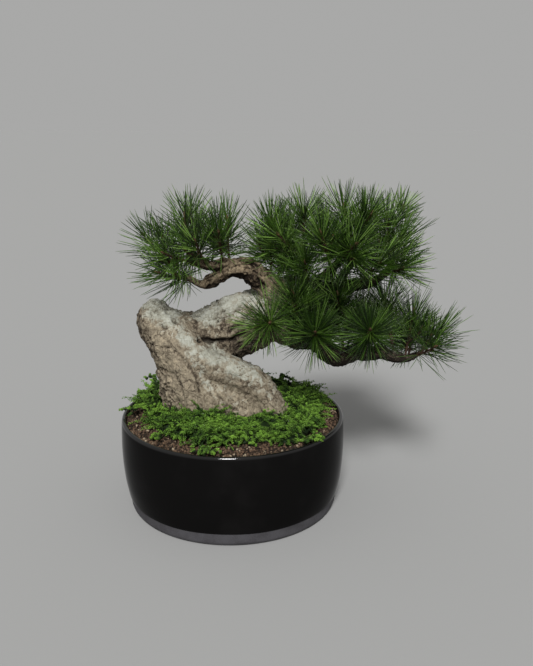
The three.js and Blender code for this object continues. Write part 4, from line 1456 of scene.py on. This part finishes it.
    @staticmethod
    def calm(points: Array, normals: Array) -> Array:
        """Where the bark is worn smooth: on the lower trunk's front, but not where it faces left."""
        front = ease(0.15, 0.55, 0.4 * normals[:, 2] - normals[:, 1])
        left = ease(0.2, 0.6, -normals[:, 0])
        near = ease(0.002, -0.008, points[:, 1])
        return front * (1 - left) * near * ease(0.178, 0.166, points[:, 2])

    def young(self, points: Array) -> Array:
        """0 on the old wood and 1 up in the branches."""
        return ease(*self.young_heights, points[:, 2])

    def relief(self, points: Array, normals: Array, limbs: List[str]) -> Tuple[Array, Array]:
        """How far the bark stands out or is cut in, and how dark each point is: the cracks' own dark, and
        painted shade where it lies deep.

        The height is the sum of three sizes of swellings, raised plates, the grooves between them,
        fissures, two sizes of grit, and the marks.

        Args:
            points: The smooth wood's vertices.
            normals: Their normals.
            limbs: The names of the limbs that the wood has there.

        Returns:
            Heights in metres and darkness from 0 up.
        """
        local, radius, clear = self.along_limbs(points, limbs)
        rough = 1 - self.calmness * self.calm(points, normals)
        bole = ease(*self.bole_radii, radius)
        thick = np.clip(radius / self.full_radius, 0.10, 1.1)
        slight = np.sqrt(thick)
        height = self.swellings(points, radius, bole, thick, rough)
        fissure, groove, plate = self.cracks(points, local, clear, rough)
        craggy = 1 + self.crag * self.young(points) * ease(*self.crag_radii, radius)
        height += craggy * slight * (self.plate_rise * plate - self.fissure_depth * fissure
                                     - self.groove_depth * groove)
        grit = lumps(points / self.grit_width, Seed.GRIT)
        fine = lumps(points / self.fine_width, Seed.FINE_GRIT)
        height += ((0.25 + 0.75 * slight) * (0.32 + 0.68 * rough)
                   * (self.grit_height * grit + self.fine_height * fine))
        opened = np.clip(0.7 + 0.5 * layered(points / self.fissure_patch, Seed.FISSURE_DEPTH, 2), 0, 1)
        # Fissures and grooves are dark of themselves; the grit's hollows and what lies below the surface get
        # painted shade.
        depth = craggy * ((1.05 - 0.2 * bole) * fissure * opened + 0.42 * groove
                          + 0.22 * np.clip(-grit, 0, 1) * rough
                          + 0.14 * np.clip(-height / (3 * MM), 0, 1))
        rugged = np.clip(1 + 0.5 * lumps(points / self.mark_width, Seed.MARK_EDGES), 0.3, 1.7)
        seen = ease(-0.1, 0.3, -normals[:, 1]) * rugged
        # The marks' dark is the cracks' own dark and painted shade in the hollows; a dark below zero
        # lightens.
        for mark in MARKS.values():
            share = mark.share(points) * seen
            height += mark.depth * MM * share
            depth += mark.dark * share
        return height, depth

    def swellings(self, points: Array, radius: Array, bole: Array, thick: Array, rough: Array) -> Array:
        """The sum of wide lumps, swells on the bole, and knobs in proportion to the limb's radius.

        Args:
            points: Places on the wood.
            radius: The limb's radius at each.
            bole: 0 on limbs and 1 on the trunk.
            thick: The radius as a share of a full one.
            rough: 1, and less where the bark is worn smooth.

        Returns:
            Heights in metres.
        """
        lump = self.lump_height * thick * layered(points / self.lump_width, Seed.WIDE_LUMPS, 2)
        swell = self.swell_height * bole * rough * layered(points / self.swell_width, Seed.SWELLS, 2)
        knob = np.clip(self.knob_share * radius, *self.knob_heights)
        knob = knob * (1 - 0.6 * bole) * (0.35 + 0.65 * rough)
        return lump + swell + knob * layered(points / self.knob_width, Seed.KNOBS, 2)

    def cracks(self, points: Array, local: Array, clear: Array, rough: Array) -> Tuple[Array, Array, Array]:
        """Where the bark has fissures, grooves and plates.

        Fissures are where noise that is drawn out along the limb comes near zero. Grooves are where
        two of the scattered seeds are equally near, and plates are what lies between the grooves.

        Args:
            points: Places on the wood.
            local: The same places in their limbs' terms.
            clear: 0 where two limbs meet, so that no fissure runs across.
            rough: 1, and less where the bark is worn smooth.

        Returns:
            Each of the three from 0 to 1.
        """
        sway = np.stack([lumps(points / self.sway_width, Seed.SWAY + axis) for axis in range(3)], axis=1)
        swayed = local + sway * self.sway_reach
        ridge = np.abs(layered(swayed / np.array(self.fissure_size), Seed.FISSURES, 3))
        fissure = (1 - ease(*self.fissure_edge, ridge)) * clear * rough
        near, far = crumbs(swayed / np.array(self.plate_size), Seed.PLATES)
        broken = ease(-0.45, 0.35, lumps(points / self.broken_width, Seed.BROKEN_BARK)) * rough
        groove = (1 - ease(0.0, 0.24, far - near)) * broken
        return fissure, groove, broken * ease(0.0, 0.7, far - near)

    @staticmethod
    def painted_underside_shade(points: Array, normals: Array) -> Array:
        """Painted shade: 1 on the undersides of the upper branches."""
        return ease(0.15, 0.75, -normals[:, 2]) * ease(0.190, 0.198, points[:, 2])

    def lichen(self, points: Array, normals: Array) -> Array:
        """How much lichen grows at each point, from 0 to 1.

        It grows on what faces up, right and a little to the front, in patches, most on the trunk's
        top and on the pale marks. There is less near the moss and hardly any on the branches.

        Args:
            points: Places on the wood.
            normals: Their normals.

        Returns:
            The share of the bark that is crusted.
        """
        facing = normals @ unit(np.array(self.lichen_side))
        patches = layered(points / self.lichen_width, Seed.LICHEN, 3)
        top = 0.27 * ease(0.158, 0.172, points[:, 2]) * ease(-0.2, 0.4, normals[:, 2])
        bands = sum(mark.crust * mark.share(points) for mark in MARKS.values())
        upper = 1 - 0.93 * ease(0.183, 0.198, points[:, 2])
        right = 1 - 0.9 * ease(0.038, 0.055, points[:, 0]) * (points[:, 2] > 0.125)
        low = 1 - 0.45 * ease(0.128, 0.092, points[:, 2])
        return np.clip(0.05 + 0.48 * facing + 0.24 * patches + top + bands, 0, 1) * upper * right * low

    @staticmethod
    def shade(points: Array, normals: Array) -> Array:
        """Painted shade on the bark: most on the low branch under the needles, less on what faces down or
        left, with painted light on the upper branches.
        """
        branches = -0.3 * ease(0.190, 0.200, points[:, 2])
        low_branch = ease(0.045, 0.065, points[:, 0]) * (points[:, 2] > 0.12)
        left = ease(0.35, 0.85, -normals[:, 0])
        return branches + 1.9 * low_branch + 0.2 * left + 0.6 * ease(0.0, 0.7, -normals[:, 2])


@dataclass(frozen=True)
class Tier:
    """What sets one tier's needles apart: pairs by length of stem and the fewest, their radius, their
    lean in degrees at the stem's foot and tip, the share of a downward slant that they keep, how much
    paler and how long they are. The paleness is painted light and shade for the whole tier: below zero
    it is painted shade, which darkens the left pad and the low tier."""

    pairs_per_length: float
    least_pairs: int
    radius: float
    lean: Span
    droop: float
    # Painted shade for the whole tier: below zero, darker.
    shade: float
    length_share: float = 1.0


class ShootFinish(IntEnum):
    """The shoots' finishes, in the order that their meshes number them."""

    NEEDLE = 0
    STEM = 1


@dataclass
class Foliage:
    """The needle shoots: a stem, side twigs, buds, and pairs of needles all round them.

    The tiers say what each level's needles are like, and special what a few single shoots' are like.
    """

    length: float = 31 * MM
    length_spread: float = 0.11
    clear_of_wood: float = 3 * MM
    lean_spread: float = 15
    turn_spread: float = 0.5
    lift: float = 0.16
    pair_angle: Span = (0.05, 0.19)
    bend: float = 0.065
    bend_shares: Span = (0.1, 1.3)
    shoot_tone_spread: float = 0.09
    stem_radius: float = 1.15 * MM
    stem_tip_radius: float = 0.75 * MM
    stem_sag: float = 0.05
    stem_steps: int = 30
    stem_sides: int = 8
    bud_lengths: Tuple[float, ...] = (0.8, 2.0, 3.6, 5.0, 6.0)
    bud_radii: Tuple[float, ...] = (1.0, 1.25, 1.1, 0.65, 0.12)
    twig_from: float = 26 * MM
    twig_places: Span = (0.42, 0.66)
    twig_length: Span = (13 * MM, 19 * MM)
    twig_needle_size: float = 0.86
    sides: int = 4
    stops: Tuple[float, ...] = (0.0, 0.08, 0.4, 0.75, 0.93)
    taper: Tuple[float, ...] = (0.85, 0.95, 1.0, 0.92, 0.6)
    tiers: Dict[Level, Tier] = field(default_factory=lambda: {
        Level.LEFT: Tier(1.3 / MM, 34, 0.28 * MM, (78, 20), 0.85, -0.10),
        Level.CROWN: Tier(2.4 / MM, 66, 0.28 * MM, (84, 26), 0.85, 0.0),
        Level.LOW: Tier(4.0 / MM, 140, 0.24 * MM, (88, 34), 0.9, -0.18)})
    special: Dict[Tuple[Level, int], Tier] = field(default_factory=lambda: {
        (Level.CROWN, 9): Tier(2.4 / MM, 66, 0.28 * MM, (86, 34), 0.85, 0.0, 0.74),
        (Level.LOW, 1): Tier(1.1 / MM, 48, 0.27 * MM, (62, 16), 0.8, -0.12),
        (Level.LOW, 2): Tier(1.1 / MM, 42, 0.27 * MM, (70, 30), 0.8, -0.12),
        (Level.LOW, 5): Tier(1.1 / MM, 80, 0.25 * MM, (82, 30), 0.85, -0.12),
        (Level.LOW, 12): Tier(1.1 / MM, 50, 0.26 * MM, (66, 22), 0.8, -0.12)})

    def build(self, random: Random) -> None:
        """Makes one piece for each shoot."""
        materials = [Needle().material(), Twig().material()]
        for level, rows in SHOOTS.items():
            for number, row in enumerate(rows, 1):
                skin = Skin()
                stem, bare = self.stem(*row)
                usual = self.special.get((level, number), self.tiers[level])
                own = replace(usual, shade=usual.shade + random.normal(0, self.shoot_tone_spread))
                self.add_twig(skin, stem, bare, 1.0, own, random)
                for side in self.side_twigs(stem, bare, random):
                    self.add_twig(skin, side, 2 * MM, self.twig_needle_size, own, random)
                piece = skin.object(f"spray_{level.value}_{number}", materials)
                settle(piece, f"shoot_{level.value}_{number}")

    def stem(self, name: str, part: float, tip: Point) -> Tuple[Array, float]:
        """The stem's line: a parabola from inside the limb to the tip, which dips a little.

        Args:
            name: The limb that the shoot grows from.
            part: How far along it.
            tip: Where the stem ends, in millimetres.

        Returns:
            The line's points, and the length of stem that has no needles.
        """
        stations = limb(name)
        base = Line(stations).at(part)[0]
        end = np.array(tip) * MM
        middle = (base + end) / 2 - UP * self.stem_sag * np.linalg.norm(end - base)
        bare = thickness(stations, part) + self.clear_of_wood
        return arc(base, middle, end, self.stem_steps + 1), bare

    def side_twigs(self, stem: Array, bare: float, random: Random) -> List[Array]:
        """The lines of the twigs that leave a long stem sideways and curve up beside it."""
        long = np.linalg.norm(stem[-1] - stem[0])
        count = int(np.clip((long - bare) / self.twig_from, 0, 2))
        made = []
        for place in self.twig_places[:count]:
            start = max(place, min(0.85, (bare + 2 * MM) / long))
            foot = stem[int(start * self.stem_steps)]
            along = unit(stem[-1] - stem[0])
            out = unit(np.cross(along, random.normal(size=3)))
            reach = random.uniform(*self.twig_length)
            tip = foot + reach * unit(0.75 * along + 0.8 * out + 0.25 * UP)
            middle = foot + reach * 0.5 * unit(0.55 * along + out)
            made.append(arc(foot, middle, tip, self.stem_steps // 2))
        return made

    def add_twig(self, skin: Skin, stem: Array, bare: float, size: float, tier: Tier, random: Random) -> None:
        """Adds a stem with its bud and its needles, two from each sheath.

        A needle's line is root + aim · length · t + bow · length · t², and its ring at each stop is a
        small polygon square to its aim.

        Args:
            skin: The shoot so far.
            stem: The stem's line.
            bare: The length at its foot without needles.
            size: How long the needles are, as a share of the usual length.
            tier: What the tier's needles are like.
            random: Where the draws come from.
        """
        self.add_stem(skin, stem, size)
        run = length_run(stem)
        green = max(run[-1] - bare, 6 * MM)
        pairs = max(int(green * tier.pairs_per_length), int(tier.least_pairs * size**2))
        share = np.sort(random.uniform(0, 1, pairs) ** 0.9)
        distance = run[-1] - green + share * green
        slope = np.gradient(stem, run, axis=0)
        root, tangent = (np.stack([np.interp(distance, run, row) for row in rows.T], axis=1)
                         for rows in (stem, slope))
        tangent = unit(tangent)
        turn = np.arange(pairs) * GOLDEN_ANGLE + random.normal(0, self.turn_spread, pairs)
        outward = around(*across(tangent), turn)
        lean = np.interp(share**1.5, [0, 1], tier.lean) + random.normal(0, self.lean_spread, pairs)
        lean = np.radians(np.clip(lean, 5, 95))[:, None]
        aim = unit(outward * np.sin(lean) + tangent * np.cos(lean) + UP * self.lift)
        aim[:, 2] = np.where(aim[:, 2] < 0, tier.droop * aim[:, 2], aim[:, 2])
        aim = unit(aim)
        apart = unit(np.cross(aim, random.normal(size=(pairs, 3))))
        spread = random.uniform(*self.pair_angle, pairs)[:, None]
        root = np.repeat(root + outward * self.stem_tip_radius * 0.6, 2, axis=0)
        aims = np.stack([unit(aim + apart * spread), unit(aim - apart * spread)], axis=1).reshape(-1, 3)
        usual = size * self.length * tier.length_share
        long = np.repeat(usual * random.normal(1, self.length_spread, pairs), 2)
        long = long * random.uniform(0.96, 1.03, 2 * pairs)
        long = long * np.interp(np.repeat(share, 2), [0, 0.15, 0.8, 1], [0.86, 1.0, 1.0, 0.88])
        bow = np.repeat(tangent, 2, axis=0) + random.normal(0, 0.9, (2 * pairs, 3))
        bow = unit(bow - aims * (bow * aims).sum(axis=1, keepdims=True))
        bow = bow * (self.bend * random.uniform(*self.bend_shares, 2 * pairs))[:, None]
        # The tier's shade paints shade on the whole tier; the rest of the tone differs at random from needle
        # to needle.
        tone = np.repeat(random.beta(0.7, 1.15, pairs) + tier.shade, 2) + random.normal(0, 0.1, 2 * pairs)
        self.add_blades(skin, root, aims, bow, long, np.clip(tone, 0, 1), tier.radius)

    def add_blades(self, skin: Skin, root: Array, aim: Array, bow: Array, long: Array,
                   tone: Array, radius: float) -> None:
        """Adds needles given by root, aim, bow, length and tone, one row for each, and their radius."""
        count, rings = len(root), len(self.stops)
        t = np.array(self.stops)[None, :, None]
        line = root[:, None] + (aim[:, None] * t + bow[:, None] * t**2) * long[:, None, None]
        side, second = across(aim)
        angle = circle(self.sides)
        spread = around(side[:, None], second[:, None], angle)
        ring = line[:, :, None] + spread[:, None] * (radius * np.array(self.taper))[:, None, None]
        tip = root + (aim + bow) * long[:, None]
        points = np.concatenate([ring.reshape(count, -1, 3), root[:, None], tip[:, None]], axis=1)
        corner = np.arange(rings * self.sides).reshape(rings, self.sides)
        right = np.roll(corner, -1, axis=1)
        quads = np.stack([corner[:-1], right[:-1], right[1:], corner[1:]], axis=-1).reshape(-1, 4)
        foot, top = rings * self.sides, rings * self.sides + 1
        fans = np.concatenate([
            np.stack([np.full(self.sides, foot), right[0], corner[0]], axis=-1),
            np.stack([np.full(self.sides, top), corner[-1], right[-1]], axis=-1)])
        first = np.arange(count)[:, None, None] * points.shape[1]
        along = np.concatenate([np.repeat(self.stops, self.sides), [0.0, 1.0]])
        faces = [(quads[None] + first).reshape(-1, 4), (fans[None] + first).reshape(-1, 3)]
        skin.add(points.reshape(-1, 3), faces, ShootFinish.NEEDLE, along=np.tile(along, count),
                 tone=np.repeat(tone, points.shape[1]))

    def add_stem(self, skin: Skin, stem: Array, size: float) -> None:
        """Adds the stem and the pointed bud that ends it."""
        direction = unit(stem[-1] - stem[-2])
        bud = np.array(self.bud_lengths)[:, None] * MM * size * direction + stem[-1]
        path = np.vstack([stem, bud])
        radius = np.concatenate([np.linspace(self.stem_radius, self.stem_tip_radius, len(stem)),
                                 np.array(self.bud_radii) * MM])
        ringed = 1 + 0.14 * np.sin(np.arange(len(path)) * 2.4)
        rings = tube(path, radius * ringed * size, self.stem_sides)
        on_bud = np.repeat(np.arange(len(path)) >= len(stem), self.stem_sides).astype(float)
        skin.grid(rings, ShootFinish.STEM, bud=on_bud)


@dataclass
class MossCarpet:
    """The moss: eight cushions that meet, each a lumpy bed under a mat of curved leafy sprigs."""

    sectors: int = 8
    inner: float = 18 * MM
    thickness: float = 9 * MM
    edge: float = 3 * MM
    shoulder: float = 40 * MM
    seam: float = 0.35
    gap: float = 0.6 * MM
    hump_angle: float = 158
    hump_reach: float = 62 * MM
    hump_height: float = 12 * MM
    hump_width: float = 26 * MM
    bed_below: float = 4.6 * MM
    bed_inset: float = 8 * MM
    bed_grid: Tuple[int, int] = (22, 44)
    lump_width: float = 4 * MM
    lump_height: float = 0.9 * MM
    clump_width: float = 13 * MM
    clump_height: float = 4.2 * MM
    dip: Point = (18 * MM, -32 * MM, 7 * MM)
    dip_width: float = 32 * MM
    sprigs: int = 620
    bare_middle: float = 20 * MM
    clear_of_wood: float = 1.5 * MM
    fray_height: float = 5 * MM
    fray_width: float = 11 * MM
    rim_width: float = 12 * MM
    tuft_sprigs: int = 9
    tuft_share: float = 0.6
    leaves: int = 24
    leaf_length: float = 2.6 * MM
    sprig_length: Span = (11 * MM, 19 * MM)
    rim_reach: float = 94 * MM

    def reach(self, angle: Array) -> Array:
        """How far the moss reaches at an angle in degrees."""
        table = np.array(MOSS_REACH, float)
        return np.interp(angle, table[:, 0], table[:, 1]) * MM

    @staticmethod
    def noise(flat: Array, width: float, seed: Seed) -> Array:
        """Two octaves of lumps about that wide, from -1 to 1, for rows of x and y."""
        return layered(np.column_stack([flat / width, np.zeros(len(flat))]), seed, 2)

    def clumps(self, flat: Array) -> Array:
        """From -1 in the dips between clumps to 1 on top of them, for rows of x and y."""
        return np.clip(1.4 * self.noise(flat, self.clump_width, Seed.MOSS_CLUMPS), -1, 1)

    def depth(self, radius: Array, angle: Array) -> Array:
        """The carpet's thickness: a shoulder that rises as a square root, and a hump at the back left."""
        share = np.clip((self.reach(angle) - radius) / self.shoulder, 0, 1)
        turn = np.radians(angle - self.hump_angle)
        away = np.hypot(radius * np.cos(turn) - self.hump_reach, radius * np.sin(turn))
        hump = self.hump_height * np.exp(-((away / self.hump_width) ** 2)) * np.minimum(1, 2.5 * share)
        shoulder = self.edge + (self.thickness - self.edge) * np.sqrt(share)
        return shoulder + hump - self.dip[2] * self.low(radius, angle)

    def low(self, radius: Array, angle: Array) -> Array:
        """How much each place belongs to the thin moss before the trunk's right foot, from 0 to 1."""
        x, y = radius * np.cos(np.radians(angle)), radius * np.sin(np.radians(angle))
        return np.exp(-(np.hypot(x - self.dip[0], y - self.dip[1]) / self.dip_width) ** 2)

    def build(self, ground: Ground, random: Random) -> None:
        """Makes one piece for each sector."""
        material = Moss().material()
        width = 360 / self.sectors
        for number in range(self.sectors):
            start, end = number * width + self.seam, (number + 1) * width - self.seam
            skin = Skin()
            self.add_bed(skin, ground, start, end)
            self.add_sprigs(skin, ground, start, end, random)
            piece = skin.object(f"moss_cushion_{number + 1}", [material])
            settle(piece, f"moss_{number + 1}")

    def add_bed(self, skin: Skin, ground: Ground, start: float, end: float) -> None:
        """The bed that the sprigs stand in, dark with painted shade: a closed slab on a polar grid with a
        lumpy top.
        """
        angle = np.linspace(start, end, self.bed_grid[0])[:, None]
        part = np.linspace(0, 1, self.bed_grid[1])[None]
        radius = self.inner + (self.reach(angle) - self.bed_inset - self.inner) * part
        turn = np.radians(angle + 0 * part)
        flat = np.stack([radius * np.cos(turn), radius * np.sin(turn)], axis=-1)
        floor = ground.height(radius) + self.gap - self.lump_height
        rise = self.depth(radius, angle + 0 * part) - self.bed_below
        clump = self.clumps(flat.reshape(-1, 2)).reshape(radius.shape) * self.clump_height
        level = np.concatenate([flat, flat[..., :1] * 0], axis=-1).reshape(-1, 3)
        lump = lumps(level / self.lump_width, Seed.MOSS_BED).reshape(radius.shape)
        top = floor + np.maximum(rise + clump, self.lump_height) + self.lump_height * (lump + 1)
        loops = np.concatenate([
            np.concatenate([flat, top[..., None]], axis=-1),
            np.concatenate([flat, floor[..., None]], axis=-1)[:, ::-1]], axis=1)
        # The bed's low along gives it the moss's painted shade.
        skin.grid(loops[::-1], along=0.05, tone=0.2)

    @staticmethod
    def inside_wood(points: Array, margin: float) -> Array:
        """Whether points are within the trunk's level sections, made smaller by a margin."""
        left, right, front, back = trunk_sides(points[:, 2])
        x = (points[:, 0] - (left + right) / 2) / ((right - left) / 2 - margin)
        y = (points[:, 1] - (front + back) / 2) / ((back - front) / 2 - margin)
        return x * x + y * y < 1

    def add_sprigs(self, skin: Skin, ground: Ground, start: float, end: float, random: Random) -> None:
        """Scatters sprigs over the sector, fewer between clumps and where the carpet frays at its edge."""
        count = self.sprigs
        angle = random.uniform(start, end, count)
        limit = self.reach(angle)
        radius = np.sqrt(random.uniform(0.05, 1.0, count)) * (limit + 4 * MM)
        flat = np.stack([radius * np.cos(np.radians(angle)), radius * np.sin(np.radians(angle))], axis=1)
        clump = self.clumps(flat)
        fray = self.fray_height * self.noise(flat, self.fray_width, Seed.MOSS_FRAY)
        bed = self.depth(radius, angle) - self.bed_below + clump * self.clump_height
        root = np.column_stack([flat, ground.height(radius) + np.maximum(bed, 0) - 0.5 * MM])
        kept = (radius < limit + fray - 4 * MM) & (radius > self.bare_middle)
        kept &= ~self.inside_wood(root, self.clear_of_wood)
        kept &= random.uniform(0, 1, count) < 0.68 + 0.6 * clump
        root, radius, limit, clump = root[kept], radius[kept], limit[kept], clump[kept]
        carpet_count = len(root)
        for tuft in MOSS_TUFTS:
            if start <= math.degrees(math.atan2(tuft[1], tuft[0])) % 360 < end:
                loose = self.tuft(tuft, random)
                away = np.hypot(loose[:, 0], loose[:, 1])
                root = np.vstack([root, loose])
                radius, limit = np.append(radius, away), np.append(limit, away)
                clump = np.append(clump, np.zeros(len(loose)))
        count = len(root)
        outward = unit(root * np.array([1, 1, 0]))
        rim = ease(0, 1, 1 - (limit - radius) / self.rim_width)
        sway = random.normal(0, 0.55, (count, 3)) * np.array([1, 1, 0.2])
        heading = unit(UP * 0.95 + sway + 0.3 * rim[:, None] * outward)
        turn = np.degrees(np.arctan2(root[:, 1], root[:, 0]))
        long = random.uniform(*self.sprig_length, count) * (1 - 0.4 * rim) * (1 + 0.15 * clump)
        long = long * (1 - 0.5 * self.low(np.hypot(root[:, 0], root[:, 1]), turn))
        long[carpet_count:] *= self.tuft_share
        self.add_leafy(skin, root, heading, long, random)

    def tuft(self, place: Sequence[float], random: Random) -> Array:
        """Where the sprigs of a loose tuft stand, drawn round its place but kept inside the rim."""
        spread = random.normal(0, 0.5, (self.tuft_sprigs, 3)) * np.array([1, 1, 0.2]) * place[3] * MM
        loose = np.array(place[:3]) * MM + spread
        loose[:, :2] *= np.minimum(1, self.rim_reach / np.hypot(loose[:, 0], loose[:, 1]))[:, None]
        return loose

    def add_leafy(self, skin: Skin, root: Array, heading: Array, long: Array, random: Random) -> None:
        """Adds curved leafy sprigs.

        A sprig's line is foot + (heading · t + arch · t²) · length. Leaves stand round it at golden
        angles. Each is a closed keeled blade of four faces: its foot, its tip, and two sides that
        are lifted off the line between them.

        Args:
            skin: The cushion so far.
            root: Where each sprig stands.
            heading: Where each one points.
            long: How long each one is.
            random: Where the draws come from.
        """
        count, leaves = len(root), self.leaves
        part = np.linspace(0.15, 1.0, leaves)[None, :, None]
        lean = unit(random.normal(size=(count, 3)) * np.array([1, 1, 0]))
        lean = lean * random.uniform(0.2, 0.75, (count, 1))
        arch = (lean - UP * random.uniform(0.2, 0.75, (count, 1)))[:, None]
        foot = root[:, None] + (heading[:, None] * part + arch * part**2) * long[:, None, None]
        run = unit(heading[:, None] + 2 * arch * part)
        turn = (np.arange(leaves) * GOLDEN_ANGLE)[None] + random.uniform(0, 6.3, (count, 1))
        outward = around(*across(run), turn)
        open_angle = np.linspace(0.85, 0.4, leaves)[None, :, None]
        aim = unit(outward * np.sin(open_angle) + run * np.cos(open_angle)
                   + random.normal(0, 0.12, (count, leaves, 3)))
        size = self.leaf_length * random.uniform(0.7, 1.2, (count, leaves, 1)) * (1.1 - 0.45 * part)
        flank = unit(np.cross(aim, outward + 0.3 * run))
        lift = np.cross(flank, aim)
        middle = foot + aim * size * 0.55 + lift * size * 0.2
        half = flank * size * 0.42
        blade = np.stack([foot, foot + aim * size, middle + half, middle - half], axis=2)
        faces = np.array([(0, 2, 1), (0, 1, 3), (0, 3, 2), (1, 2, 3)])
        index = (faces[None] + np.arange(count * leaves)[:, None, None] * 4).reshape(-1, 3)
        tone = np.repeat(random.uniform(0, 1, count), leaves * 4)
        along = np.repeat(np.broadcast_to(part[..., 0], (count, leaves)).ravel(), 4)
        # Along, from 0.12 at a sprig's foot to 1 at its tip, sets how much of the moss's painted shade a leaf
        # takes.
        skin.add(blade.reshape(-1, 3), [index], tone=tone, along=0.12 + 0.88 * along)


# ------ studio


@dataclass
class Studio:
    """Camera, floor and soft light."""

    sensor: float = 36.0
    focal_pixels: float = 780.0
    picture_height: int = 666
    pitch: float = 15.83
    clip: Span = (0.01, 100)
    floor_size: float = 30.0
    floor_level: float = -0.2 * MM
    sky: Colour = (0.395, 0.395, 0.39)
    key_from: Point = (-0.05, -0.72, 0.69)
    key_angle: float = 14.0
    key_strength: float = 3.7

    def build(self) -> None:
        """Sets up all of it."""
        self.build_camera()
        self.build_floor()
        self.build_light()

    def build_camera(self) -> None:
        """The camera at the photograph's viewing angle."""
        camera = bpy.data.cameras.new("camera")
        camera.sensor_width = self.sensor
        camera.lens = self.sensor * self.focal_pixels / self.picture_height
        camera.clip_start, camera.clip_end = self.clip
        holder = in_scene("camera", camera)
        holder.location = EYE
        holder.rotation_euler = (math.radians(90 - self.pitch), 0, 0)
        bpy.context.scene.camera = holder

    def build_floor(self) -> None:
        """A wide plain floor at the height that the pot stands on."""
        half = self.floor_size / 2
        corners = np.array([(x, y, self.floor_level) for y in (-half, half) for x in (-half, half)])
        skin = Skin()
        skin.add(corners, [np.array([(0, 1, 3, 2)])])
        skin.object("floor", [PaleFloor().material()])

    def build_light(self) -> None:
        """A pale sky all round, and a wide soft sun high above the front."""
        world = bpy.data.worlds.new("sky")
        bpy.context.scene.world = world
        world.use_nodes = True
        world.node_tree.nodes["Background"].inputs["Color"].default_value = (*self.sky, 1.0)
        lamp = bpy.data.lights.new("key", "SUN")
        lamp.angle, lamp.energy = math.radians(self.key_angle), self.key_strength
        x, y, z = unit(np.array(self.key_from))
        in_scene("key", lamp).rotation_euler = (math.acos(z), 0, math.atan2(x, -y))
        bpy.context.scene.view_settings.view_transform = "Standard"


def main() -> None:
    """Builds the whole tree with its pot, and the studio."""
    logging.basicConfig(level=logging.INFO, format="%(message)s")
    Studio().build()
    ground = Ground()
    Pot().build()
    ground.build(np.random.default_rng(4))
    Wood().build()
    MossCarpet().build(ground, np.random.default_rng(8))
    Foliage().build(np.random.default_rng(15))


if __name__ == "__main__":
    main()
